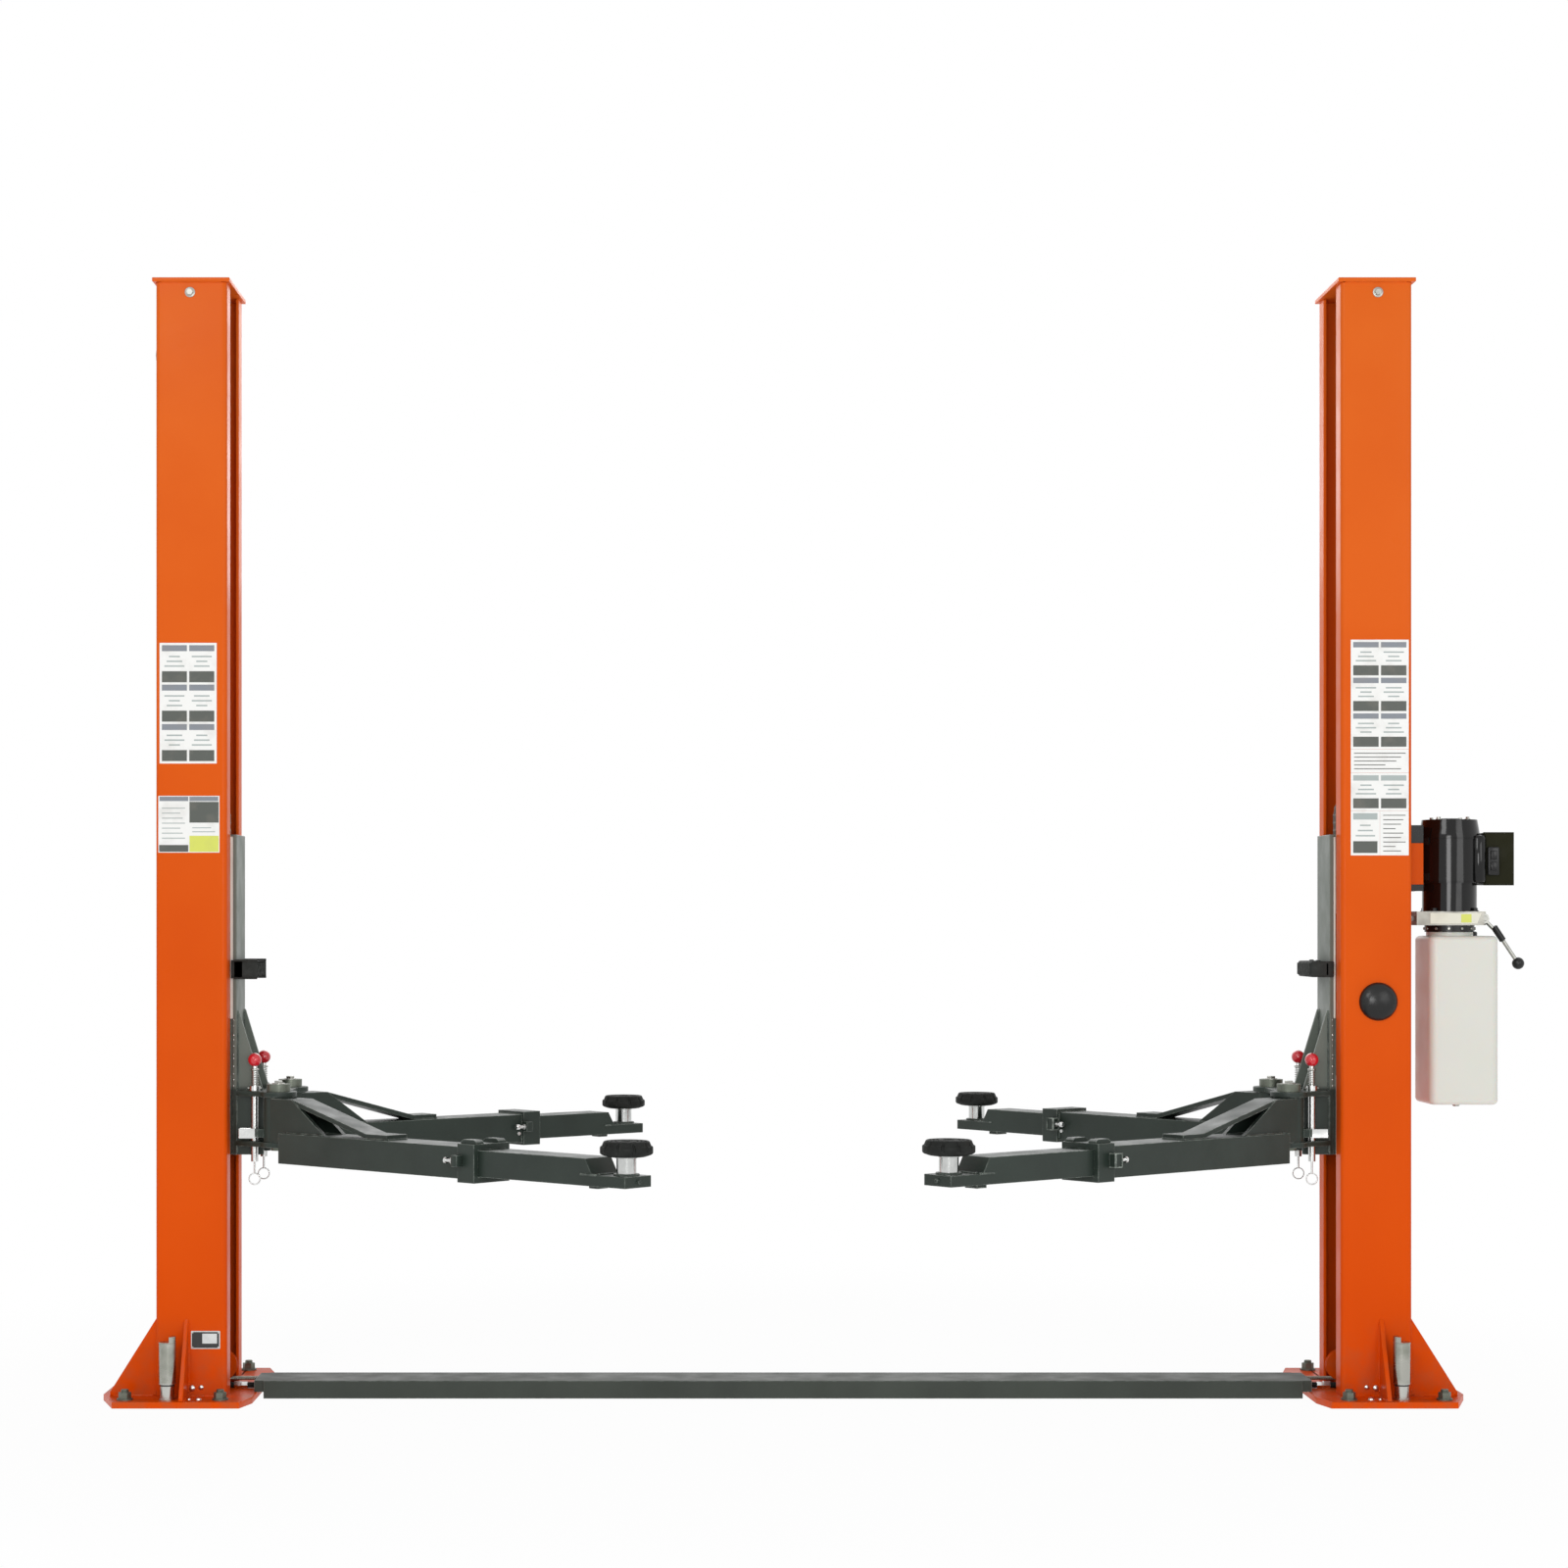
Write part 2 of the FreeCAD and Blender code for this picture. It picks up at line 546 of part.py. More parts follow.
def make_floor_cover():
    """A long hood on the floor, with a narrower tongue over each base plate."""
    hood_end = "(bay_half - base_inner - cover_gap)"
    tongue_end = "(bay_half - base_inner + tongue_lap)"
    hood_x = (f"-1 * {hood_end}", hood_end)
    tongue_x = (f"-1 * {tongue_end}", tongue_end)
    middle_x = (f"cover_wall - {hood_end}", f"{hood_end} - cover_wall")
    room_z = ("0", "cover_high - cover_wall")
    hood = box("cover_hood", hood_x, ("-1 * cover_wide / 2", "cover_wide / 2"), ("0", "cover_high"))
    room = box("cover_room", hood_x, ("cover_wall - cover_wide / 2", "cover_wide / 2 - cover_wall"), room_z)
    ends = box("tongue_hood", tongue_x, ("-1 * tongue_wide / 2", "tongue_wide / 2"),
               ("base_thick", "cover_high"))
    end_room = box("tongue_room", tongue_x, ("cover_wall - tongue_wide / 2", "tongue_wide / 2 - cover_wall"),
                   room_z)
    middle = box("tongue_middle", middle_x, ("-1 * tongue_wide / 2", "tongue_wide / 2"), room_z)
    shell = less("cover_shell", hood, [room])
    tongues = less("tongues", less("tongue_shell", ends, [end_room]), [middle])
    nodes["floor_cover"] = fused("floor_cover", [shell, tongues])


def sheave(name, bend, x, y, z, axis):
    """A grooved cable wheel: a core and two rims, about an axis along X or Y."""
    middle = {"x": x, "y": y}[axis]

    def disc(part, radius, low, high):
        span = (f"{middle} + {low}", f"{middle} + {high}")
        across = (span, y) if axis == "x" else (x, span)
        return rod(f"{name}_{part}", radius, *across, z)

    core = disc("core", f"{bend} - cable_rad - fit_gap", "(-1 * sheave_half)", "sheave_half")
    near = disc("near_rim", f"{bend} + sheave_rim", "(-1 * sheave_half)", "(cable_rad * -1 - fit_gap)")
    far = disc("far_rim", f"{bend} + sheave_rim", "(cable_rad + fit_gap)", "sheave_half")
    return [core, near, far]


def make_cables():
    cable_x = "(bay_half + cable_place)"
    over_y = "(cable_row - top_sheave_rad)"
    top = sheave("top_sheave", "top_sheave_rad", cable_x, over_y, "top_sheave_axle", "x")
    axle = rod("top_axle", "axle_rad", (f"{cable_x} - sheave_half", f"{COLUMN_BACK} - column_wall"),
               over_y, "top_sheave_axle")
    nodes["top_sheaves"] = both_sides("top_sheaves", fused("right_top_sheave", top + [axle]))

    turn_x, turn_z = f"({cable_x} - base_sheave_rad)", "(cable_low + base_sheave_rad)"
    low = sheave("base_sheave", "base_sheave_rad", turn_x, "cable_row", turn_z, "y")
    pin = rod("base_sheave_pin", "tab_pin_rad", turn_x, ("cable_row", "tab_row"), turn_z)
    nodes["base_sheaves"] = both_sides("base_sheaves", fused("right_base_sheave", low + [pin]))

    upright = rod("cable_upright", "cable_rad", cable_x, "cable_row", (turn_z, "top_sheave_axle"))
    over = elbow("cable_over", "top_sheave_rad", "cable_rad", (cable_x, over_y, "top_sheave_axle"), "x",
                 90, 180)
    under = elbow("cable_under", "base_sheave_rad", "cable_rad", (turn_x, "cable_row", turn_z), "y", 0, 90)
    floor_run = rod("cable_floor", "cable_rad", (f"-1 * {turn_x}", turn_x), "cable_row", "cable_low")
    left = [flipped(piece.Name + "_left", piece) for piece in (upright, over, under)]
    nodes["equalizer_cable"] = fused("equalizer_cable", [floor_run, upright, over, under] + left)
    reach = f"({CYLINDER} - barrel_rad - fit_gap)"
    nodes["hydraulic_hose"] = rod("hydraulic_hose", "hose_rad", (f"-1 * {reach}", reach), "0", "hose_low")


def make_cylinders():
    barrel = rod("barrel", "barrel_rad", CYLINDER, "0", ("base_thick", "barrel_top"))
    bore = rod("barrel_bore", "rod_rad + fit_gap", CYLINDER, "0", ("barrel_floor", "barrel_top"))
    nodes["cylinder_barrels"] = both_sides("cylinder_barrels", less("right_barrel", barrel, [bore]))

    block_top = "(head_axle - chain_sheave_rad - wheel_gap)"
    spine = rod("piston_rod", "rod_rad", CYLINDER, "0", ("rod_low", block_top))
    block_x = (f"{CYLINDER} - head_half", f"{CYLINDER} + head_half")
    block = box("head_block", block_x, ("-1 * head_half", "head_half"),
                (f"{block_top} - head_half", block_top))
    cheek_y = ("chain_half + head_gap", "head_half")
    cheek = box("head_cheek", block_x, cheek_y, (f"{block_top} - head_half", "head_axle + head_half"))
    width = ("-1 * chain_half", "chain_half")
    wheel = rod("chain_wheel", "chain_sheave_rad - fit_gap", CYLINDER, width, "head_axle")
    pin = rod("chain_wheel_pin", "axle_rad", CYLINDER, ("-1 * head_half", "head_half"), "head_axle")
    piston = fused("right_piston", [
        spine, block, cheek, flipped("head_cheek_front", cheek, (0, 1, 0)), wheel, pin])
    nodes["right_piston"] = piston
    nodes["left_piston"] = flipped("left_piston", piston)

    inner, outer = "chain_sheave_rad", "(chain_sheave_rad + chain_thick)"
    front = box("chain_front", (f"{CYLINDER} - {outer}", f"{CYLINDER} - {inner}"), width,
                ("chain_front_low", "head_axle"))
    rear = box("chain_rear", (f"{CYLINDER} + {inner}", f"{CYLINDER} + {outer}"), width,
               ("chain_rear_low", "head_axle"))
    disc = rod("chain_disc", outer, CYLINDER, width, "head_axle")
    core = rod("chain_core", inner, CYLINDER, width, "head_axle")
    below = box("chain_below", (f"{CYLINDER} - {outer}", f"{CYLINDER} + {outer}"), width,
                (f"head_axle - {outer}", "head_axle"))
    bow = less("chain_bow", disc, [core, below])
    chain = fused("right_lift_chain", [front, rear, bow])
    nodes["right_lift_chain"] = chain
    nodes["left_lift_chain"] = flipped("left_lift_chain", chain)


def make_carriages():
    leg_inner = "(leg_outer - carriage_leg)"
    wing_back = f"({WING} + wing_thick)"
    half = [(FACE_BACK, leg_inner), (wing_back, leg_inner), (wing_back, "wing_reach"), (WING, "wing_reach"),
            (WING, "leg_outer"), (FACE_BACK, "leg_outer"), (FACE_BACK, "carriage_half"),
            (FACE, "carriage_half")]
    section = half + [(x, f"-1 * {y}") for x, y in reversed(half)]
    channel = plate("carriage_channel", "XY_Plane", section, "carriage_low", "carriage_high")

    pieces = [channel]
    for level, height in (("lower", "shelf_low"), ("upper", "shelf_top")):
        span = (height, f"{height} + shelf_thick")
        wide = "(pivot_row + shelf_rad)"
        shelf = [(FACE, "carriage_half"), (PIVOT, wide), (PIVOT, "pivot_row"),
                 (f"{PIVOT} - shelf_rad / 2", "pivot_row")]
        corners = shelf + [(x, f"-1 * {y}") for x, y in reversed(shelf)]
        pieces.append(plate(f"shelf_{level}", "XY_Plane", corners, *span))
        for end, sign in (("rear", "1"), ("front", "-1")):
            pieces.append(rod(f"shelf_{level}_{end}", "shelf_rad", PIVOT, f"{sign} * pivot_row", span))
    cheek = box("cheek_rear", (f"{FACE} - cheek_long", FACE), ("cheek_outer - cheek_thick", "cheek_outer"),
                ("carriage_low", "shelf_top"))
    brace_low, brace_top = "(shelf_top + shelf_thick)", "(shelf_top + shelf_thick + brace_high)"
    brace_out = "(cheek_outer - carriage_leg)"
    brace = plate("brace_rear", "XZ_Plane", [
        (f"{FACE} - brace_long", brace_low), (FACE, brace_low), (FACE, brace_top),
        (f"{FACE} - brace_tip", brace_top)], f"{brace_out} - cheek_thick", brace_out)
    pieces += [cheek, flipped("cheek_front", cheek, (0, 1, 0))]
    pieces += [brace, flipped("brace_front", brace, (0, 1, 0))]
    holes = []
    for end, sign in (("rear", "1"), ("front", "-1")):
        span = ("shelf_low", "shelf_top + shelf_thick")
        holes.append(rod(f"pivot_hole_{end}", "pivot_pin_rad + fit_gap", PIVOT, f"{sign} * pivot_row", span))
        holes.append(rod(f"lock_hole_{end}", "lock_rad + fit_gap", LOCK, f"{sign} * lock_row", span))
    carriage = less("right_carriage", fused("carriage_weldment", pieces), holes)
    nodes["right_carriage"] = carriage
    nodes["left_carriage"] = flipped("left_carriage", carriage)

    side = f"({COLUMN_SIDE} - column_wall - slide_gap)"
    lip_face = f"({LIP_BACK} + slide_gap)"
    bevel = "(column_bend - column_wall)"
    block = plate("slide_block", "XY_Plane", [
        (f"{LIP_BACK} - block_lip", "leg_outer"), (f"{LIP_BACK} - block_lip", "strip_edge"),
        (lip_face, "strip_edge"), (lip_face, f"{side} - {bevel}"), (f"{lip_face} + {bevel}", side),
        (f"{lip_face} + block_long", side), (f"{lip_face} + block_long", "wing_reach"), (WING, "wing_reach"),
        (WING, "leg_outer")], "0", "block_high")
    rear = []
    for level, height in (("low", "carriage_low"), ("high", "carriage_high - block_high")):
        copy = doc.addObject("Part::Compound", f"slide_block_{level}")
        copy.Links = [block]
        place(copy, z=height)
        rear.append(copy)
    blocks = grouped("slide_blocks_rear", rear)
    pair = grouped("right_slide_blocks", [blocks, flipped("slide_blocks_front", blocks, (0, 1, 0))])
    nodes["right_slide_blocks"] = pair
    nodes["left_slide_blocks"] = flipped("left_slide_blocks", pair)

    bumper_z = ("bumper_low", "bumper_low + bumper_high")
    rubber = box("bumper_rubber", (f"{FACE} - bumper_deep", f"{FACE} + bumper_wrap"),
                 ("-1 * bumper_half", "bumper_half"), bumper_z)
    seat_room = box("bumper_seat", (FACE, f"{FACE} + bumper_wrap"),
                    ("-1 * carriage_half - fit_gap", "carriage_half + fit_gap"), bumper_z)
    bumper = less("right_door_bumper", rubber, [seat_room])
    nodes["right_door_bumper"] = bumper
    nodes["left_door_bumper"] = flipped("left_door_bumper", bumper)

    seat = "shelf_top + shelf_thick"
    pin = rod("pivot_pin", "pivot_pin_rad", PIVOT, "pivot_row", ("shelf_low - pivot_pin_end", seat))
    head = rod("pivot_pin_head", "pivot_head_rad", PIVOT, "pivot_row", (seat, f"{seat} + pivot_head"))
    rear_pin = fused("pivot_pin_rear", [pin, head])
    pins = grouped("right_pivot_pins", [rear_pin, flipped("pivot_pin_front", rear_pin, (0, 1, 0))])
    nodes["right_pivot_pins"] = pins
    nodes["left_pivot_pins"] = flipped("left_pivot_pins", pins)


def make_arm():
    """One arm, lying along +X with its pivot at the origin."""
    boss_low, boss_top = "(shelf_low + shelf_thick + slide_gap)", "(shelf_top - slide_gap)"
    tube_top = "(tube_low + tube_high)"
    boss = rod("arm_boss", "boss_rad", "0", "0", (boss_low, boss_top))
    gear = rod("arm_gear", "gear_rad", "0", "0", ("gear_low", "gear_low + gear_thick"))
    gear.setExpression("Angle", tied("gear_turn"))
    gear.setExpression("Placement", tied(
        "placement(vector(0; 0; gear_low); rotation(vector(0; 0; 1); 180 - gear_turn / 2))"))
    tube = box("arm_tube", ("tube_start", "tube_end"), ("-1 * tube_wide / 2", "tube_wide / 2"),
               ("tube_low", tube_top))
    collar = box("arm_collar", ("tube_end - collar_long", "tube_end + collar_thick"),
                 ("-1 * tube_wide / 2 - collar_thick", "tube_wide / 2 + collar_thick"),
                 ("tube_low - collar_thick", f"{tube_top} + collar_thick"))
    web_top = f"({boss_top} - web_gap)"
    web = plate("arm_web_rear", "XZ_Plane", [
        ("0", boss_low), ("tube_start + tube_wall", boss_low),
        ("tube_start + tube_wall", f"{tube_top} - tube_wall"), ("web_long", f"{tube_top} - tube_wall"),
        ("web_long", tube_top), ("strap_flat", web_top), ("0", web_top)],
        "web_inner", "web_inner + web_thick")
    webs = [web, flipped("arm_web_front", web, (0, 1, 0))]
    strap_low = f"({web_top} - strap_thick)"
    strap = plate("arm_strap", "XZ_Plane", [
        ("0", strap_low), ("strap_flat", strap_low), ("strap_foot", tube_top), ("strap_end", tube_top),
        ("strap_end", f"{tube_top} + strap_thick"), ("strap_foot", f"{tube_top} + strap_thick"),
        ("strap_flat", web_top), ("0", web_top)], "-1 * strap_half", "strap_half")
    room = box("arm_room", ("tube_start + tube_wall * 2", "tube_end + collar_thick"),
               ("tube_wall - tube_wide / 2", "tube_wide / 2 - tube_wall"),
               ("tube_low + tube_wall", f"{tube_top} - tube_wall"))
    bore = rod("arm_bore", "pivot_pin_rad + fit_gap", "0", "0", (boss_low, boss_top))
    weldment = fused("arm_weldment", [boss, gear, tube, collar, strap] + webs)
    return less("arm_pattern", weldment, [room, bore])


def make_extension():
    """The sliding tube with its end plate, lying along +X with the pad axis at the origin."""
    low = "(tube_low + tube_wall + slide_gap)"
    top = "(tube_low + tube_high - tube_wall - slide_gap)"
    half = ("-1 * inner_wide / 2", "inner_wide / 2")
    tube = plate("inner_tube", "XZ_Plane", [
        ("-1 * inner_back", low), ("inner_slant - inner_front", low), ("-1 * inner_front", top),
        ("-1 * inner_back", top)], *half)
    room = plate("inner_room", "XZ_Plane", [
        ("-1 * inner_back", f"{low} + tube_wall"), ("-1 * tongue_back", f"{low} + tube_wall"),
        ("-1 * tongue_back", f"{top} - tube_wall"), ("-1 * inner_back", f"{top} - tube_wall")],
        "tube_wall - inner_wide / 2", "inner_wide / 2 - tube_wall")
    tongue_span = (low, f"{low} + tongue_thick")
    tongue = box("tongue_plate", ("-1 * tongue_back", "tongue_nose"), half, tongue_span)
    bore = rod("tongue_bore", "post_rad + fit_gap", "0", "0", tongue_span)
    weldment = fused("extension_weldment", [less("inner_shell", tube, [room]), tongue])
    return less("extension_pattern", weldment, [bore])


def make_pad():
    low = "(tube_low + tube_wall + slide_gap)"
    top = f"({low} + tongue_thick + post_high)"
    post = rod("post_pattern", "post_rad", "0", "0", (f"{low} + fit_gap", top))
    rubber = turned("rubber_pattern", [
        ("0", top), ("pad_rad - pad_rim", top), ("pad_rad", f"{top} + pad_rim"),
        ("pad_rad", f"{top} + pad_high - pad_rim"), ("pad_rad - 2 * pad_rim", f"{top} + pad_high"),
        ("0", f"{top} + pad_high")])
    return post, rubber


def make_lock(end, sign):
    """The restraint pin of one right arm, and its ball knob."""
    row = f"{sign} * lock_row"
    seat = "(shelf_top + shelf_thick + fit_gap)"
    shaft = rod(f"lock_shaft_{end}", "lock_rad", LOCK, row, ("lock_low", seat))
    collar = rod(f"lock_collar_{end}", "lock_collar_rad", LOCK, row, (seat, f"{seat} + lock_collar"))
    stem = rod(f"lock_stem_{end}", "knob_rod_rad", LOCK, row, (seat, "knob_height - knob_rad + knob_seat"))
    neck = rod(f"lock_neck_{end}", "loop_neck_rad", LOCK, row,
               ("lock_low - loop_drop + loop_bend", "lock_low"))
    loop = elbow(f"lock_loop_{end}", "loop_bend", "loop_wire", (LOCK, row, "lock_low - loop_drop"), "y",
                 0, 360)
    pin = fused(f"lock_pin_{end}", [shaft, collar, stem, neck, loop])
    knob = ball(f"lock_knob_{end}", "knob_rad", LOCK, row, "knob_height")
    socket = rod(f"lock_knob_socket_{end}", "knob_rod_rad", LOCK, row,
                 ("knob_height - knob_rad - knob_seat", "knob_height - knob_rad + knob_seat"))
    return pin, less(f"lock_knob_cut_{end}", knob, [socket])


def make_arms():
    arm, extension = make_arm(), make_extension()
    post, rubber = make_pad()
    pins = {end: make_lock(end, sign) for end, sign in (("front", "-1"), ("rear", "1"))}
    bearings = {("front", "left"): "360 - swing_front_left", ("rear", "left"): "swing_rear_left",
                ("front", "right"): "180 + swing_front_right", ("rear", "right"): "180 - swing_rear_right"}
    for (end, hand), bearing in bearings.items():
        name = f"{end}_{hand}"
        x = PIVOT if hand == "right" else f"-1 * {PIVOT}"
        y = "pivot_row" if end == "rear" else "-1 * pivot_row"
        turn = f"({bearing})"
        pad_x = f"{x} + reach_{name} * cos({turn} * 1 deg)"
        pad_y = f"{y} + reach_{name} * sin({turn} * 1 deg)"
        nodes[f"{name}_arm"] = posed(f"{name}_arm", arm, x, y, turn)
        nodes[f"{name}_extension"] = posed(f"{name}_extension", extension, pad_x, pad_y, turn)
        nodes[f"{name}_pad_post"] = posed(f"{name}_pad_post", post, pad_x, pad_y, turn)
        nodes[f"{name}_pad"] = posed(f"{name}_pad", rubber, pad_x, pad_y, turn)
        for kind, piece in zip(("lock_pin", "lock_knob"), pins[end]):
            label = f"{name}_{kind}"
            nodes[label] = grouped(label, [piece]) if hand == "right" else flipped(label, piece)


def make_lock_covers():
    covers = []
    for name, sign, tilt in (("front", "1", 90), ("rear", "-1", -90)):
        dome = doc.addObject("Part::Ellipsoid", f"lock_cover_{name}")
        dome.Placement = FreeCAD.Placement(FreeCAD.Vector(), FreeCAD.Rotation(FreeCAD.Vector(1, 0, 0), tilt))
        dome.setExpression("Radius1", tied("dome_deep"))
        dome.setExpression("Radius2", tied("dome_rad"))
        dome.setExpression("Radius3", tied("dome_rad"))
        dome.Angle1 = 0
        place(dome, f"{sign} * (bay_half + dome_place)", f"-1 * {sign} * {COLUMN_SIDE}", "dome_height")
        covers.append(dome)
    nodes["lock_covers"] = grouped("lock_covers", covers)


def make_power_unit():
    neck_low = "(pump_low + pump_high)"
    waist = f"({neck_low} + neck_high)"
    shoulder = f"({waist} + motor_high)"
    motor = turned("motor", [
        ("0", neck_low), ("motor_neck_rad", neck_low), ("motor_neck_rad", waist), ("motor_rad", waist),
        ("motor_rad", shoulder), ("motor_rad - cap_taper", f"{shoulder} + cap_high"),
        ("0", f"{shoulder} + cap_high")])
    place(motor, POWER, "0")
    nodes["motor"] = motor

    pump_x = f"({COLUMN_BACK} + pump_in)"
    pivot_z = "(pump_low + lever_up)"
    pump_far = f"({pump_x} + pump_long)"
    pump = box("pump_casting", (pump_x, pump_far), ("-1 * pump_half", "pump_half"), ("pump_low", neck_low))
    pivot_x = f"({pump_far} + lever_boss_rad + lever_gap)"
    lug_y = ("lever_boss_half + fit_gap", "lever_boss_half + lever_rad * 2")
    lug_x = (f"{pump_far} - lever_rad", f"{pivot_x} + lever_rad * 2")
    lug = box("lever_lug", lug_x, lug_y, ("pump_low", neck_low))
    pin = rod("lever_pin", "lever_rad", pivot_x, ("-1 * lever_boss_half", "lever_boss_half + lever_rad"),
              pivot_z)
    nodes["pump_block"] = fused("pump_block", [pump, lug, pin])
    nodes["pump_flange"] = rod("pump_flange", "flange_rad", POWER, "0",
                               ("pump_low - flange_high", "pump_low"))

    tank_top = "(pump_low - flange_high - tank_neck_high)"
    x_low, x_high = f"{POWER} + tank_shift - tank_long / 2", f"{POWER} + tank_shift + tank_long / 2"
    tank = plate("tank_shell", "XY_Plane", [
        (x_low, "-1 * tank_half"), (x_high, "-1 * tank_half"), (x_high, "tank_half"), (x_low, "tank_half")],
        f"{tank_top} - tank_high", tank_top)
    middle = size("bay_half") + size("column_deep") + size("motor_axis") + size("tank_shift")
    half_long, half_wide = size("tank_long") / 2, size("tank_half")
    round_uprights(tank, "tank_bend", [
        (x, y) for x in (middle - half_long, middle + half_long) for y in (-half_wide, half_wide)])
    top = size("pump_low") - size("flange_high") - size("tank_neck_high")
    round_levels(tank, "tank_edge", [top - size("tank_high"), top])
    neck = rod("tank_neck", "tank_neck_rad", POWER, "0",
               (f"{tank_top} - tank_edge", f"{tank_top} + tank_neck_high"))
    nodes["oil_tank"] = fused("oil_tank", [tank, neck])

    nodes["motor_bracket"] = box("motor_bracket", (COLUMN_BACK, f"{POWER} - motor_rad - fit_gap"),
                                 ("-1 * mount_half", "mount_half"),
                                 (f"{waist} - mount_drop", f"{waist} - mount_drop + mount_high"))
    box_x = f"{POWER} + motor_rad + fit_gap"
    nodes["control_box"] = box("control_box", (box_x, f"{box_x} + box_long"), ("-1 * box_half", "box_half"),
                               (f"{waist} - box_drop", f"{waist} - box_drop + box_high"))

    hub_y = ("-1 * lever_boss_half", "lever_boss_half")
    knee = (f"{pivot_x} + lever_knee_out", f"{pivot_z} - lever_knee_drop")
    tip = (f"{pivot_x} + lever_out", f"{pivot_z} - lever_drop")
    hub = rod("lever_hub", "lever_boss_rad", pivot_x, hub_y, pivot_z)
    upper = strut("lever_upper_stem", "lever_rad", knee, (pivot_x, pivot_z))
    lower = strut("lever_lower_stem", "lever_rad", tip, knee)
    bend = ball("lever_bend", "lever_rad", knee[0], "0", knee[1])
    grip = ball("lever_grip", "lever_ball_rad", tip[0], "0", tip[1])
    bore = rod("lever_bore", "lever_rad + fit_gap", pivot_x, hub_y, pivot_z)
    forging = fused("lever_forging", [hub, upper, bend, lower, grip])
    nodes["release_lever"] = less("release_lever", forging, [bore])


def check_objects():
    doc.recompute()
    for thing in doc.Objects:
        if "Invalid" in thing.State or "Error" in thing.State:
            raise RuntimeError(f"{thing.Name} didn't compute: {thing.State}")
    for name, piece in nodes.items():
        shape = piece.Shape
        if shape.isNull() or not shape.isValid() or shape.Volume <= 0:
            raise RuntimeError(f"{name} has no sound shape")


def write_parts():
    os.makedirs("parts", exist_ok=True)
    for name, piece in nodes.items():
        piece.Label = name
        piece.Shape.exportStep(os.path.join("parts", name + ".step"))


make_columns()
make_bases()
make_floor_cover()
make_cables()
make_cylinders()
make_carriages()
make_arms()
make_lock_covers()
make_power_unit()
check_objects()
write_parts()
print(len(nodes), "sub-parts written")
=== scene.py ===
"""Looks of the two post car lift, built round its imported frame. Metres, +Z up, cars drive in from -Y."""
import json
import random
from math import atan2, cos, pi, radians, sin, sqrt

import bmesh
import bpy
from mathutils import Matrix, Vector


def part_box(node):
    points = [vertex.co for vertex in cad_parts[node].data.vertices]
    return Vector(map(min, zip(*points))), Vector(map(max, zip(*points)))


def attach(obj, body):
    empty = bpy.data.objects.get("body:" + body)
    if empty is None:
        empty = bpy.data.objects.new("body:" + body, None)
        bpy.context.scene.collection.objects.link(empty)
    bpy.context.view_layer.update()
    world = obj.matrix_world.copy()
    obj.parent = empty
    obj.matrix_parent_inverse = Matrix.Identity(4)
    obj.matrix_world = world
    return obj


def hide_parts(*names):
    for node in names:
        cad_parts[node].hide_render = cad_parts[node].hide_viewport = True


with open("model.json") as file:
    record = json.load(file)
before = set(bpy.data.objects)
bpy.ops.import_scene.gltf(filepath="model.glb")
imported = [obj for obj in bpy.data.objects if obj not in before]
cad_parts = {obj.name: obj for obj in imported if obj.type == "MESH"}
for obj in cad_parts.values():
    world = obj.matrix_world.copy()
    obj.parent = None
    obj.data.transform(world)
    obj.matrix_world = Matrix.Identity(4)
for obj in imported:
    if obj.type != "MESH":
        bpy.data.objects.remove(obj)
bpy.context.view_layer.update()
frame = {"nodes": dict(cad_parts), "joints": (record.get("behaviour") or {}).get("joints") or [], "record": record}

X, Y, Z = Vector((1, 0, 0)), Vector((0, 1, 0)), Vector((0, 0, 1))
HANDS = {"left": -1, "right": 1}
ENDS = {"front": -1, "rear": 1}
BOTH = (-1, 1)
ARMS = [f"{end}_{hand}" for end in ENDS for hand in HANDS]
JOINTS = {joint["name"]: joint for joint in frame["joints"]}
MM = 0.001

# Colours, as linear red, green and blue
# The next colour is the orange painted lighter towards the top: painted light, as if the top were more lit.
ORANGE_PAINTED_LIGHT_TOP = (0.70, 0.130, 0.014)
ORANGE_LOW = (0.69, 0.071, 0.0)
ORANGE_DEEP = (0.54, 0.042, 0.0)
GREEN_GREY = (0.015, 0.023, 0.018)
GREEN_GREY_WORN = (0.085, 0.105, 0.090)
COVER_GREY = (0.028, 0.034, 0.027)
ZINC = (0.40, 0.40, 0.37)
BRIGHT_STEEL = (0.66, 0.67, 0.66)
ANCHOR_GREY = (0.15, 0.165, 0.135)
CHROME = (0.56, 0.57, 0.56)
CAST = (0.40, 0.39, 0.35)
RED = (0.60, 0.010, 0.022)
TANK_WHITE = (0.66, 0.655, 0.60)
# The carriages' dark paint painted lighter above their shelf: painted light, as if the upper part were more lit.
CARRIAGE_PAINTED_LIGHT = (0.130, 0.150, 0.128)
DUST = (0.36, 0.10, 0.04)
# Rubbed-edge colours, lighter than their paints: partly wear, partly painted edge highlights.
WORN_AND_HIGHLIGHT_ORANGE = (0.80, 0.20, 0.06)
WORN_AND_HIGHLIGHT_GREEN = (0.36, 0.40, 0.36)
INKS = {
    "white": (0.82, 0.82, 0.80),
    "slate": (0.20, 0.22, 0.25),
    "mist": (0.36, 0.41, 0.40),
    "yellow": (0.62, 0.66, 0.10),
    "dark": (0.066, 0.074, 0.063),
    "cream": (0.70, 0.69, 0.58),
}

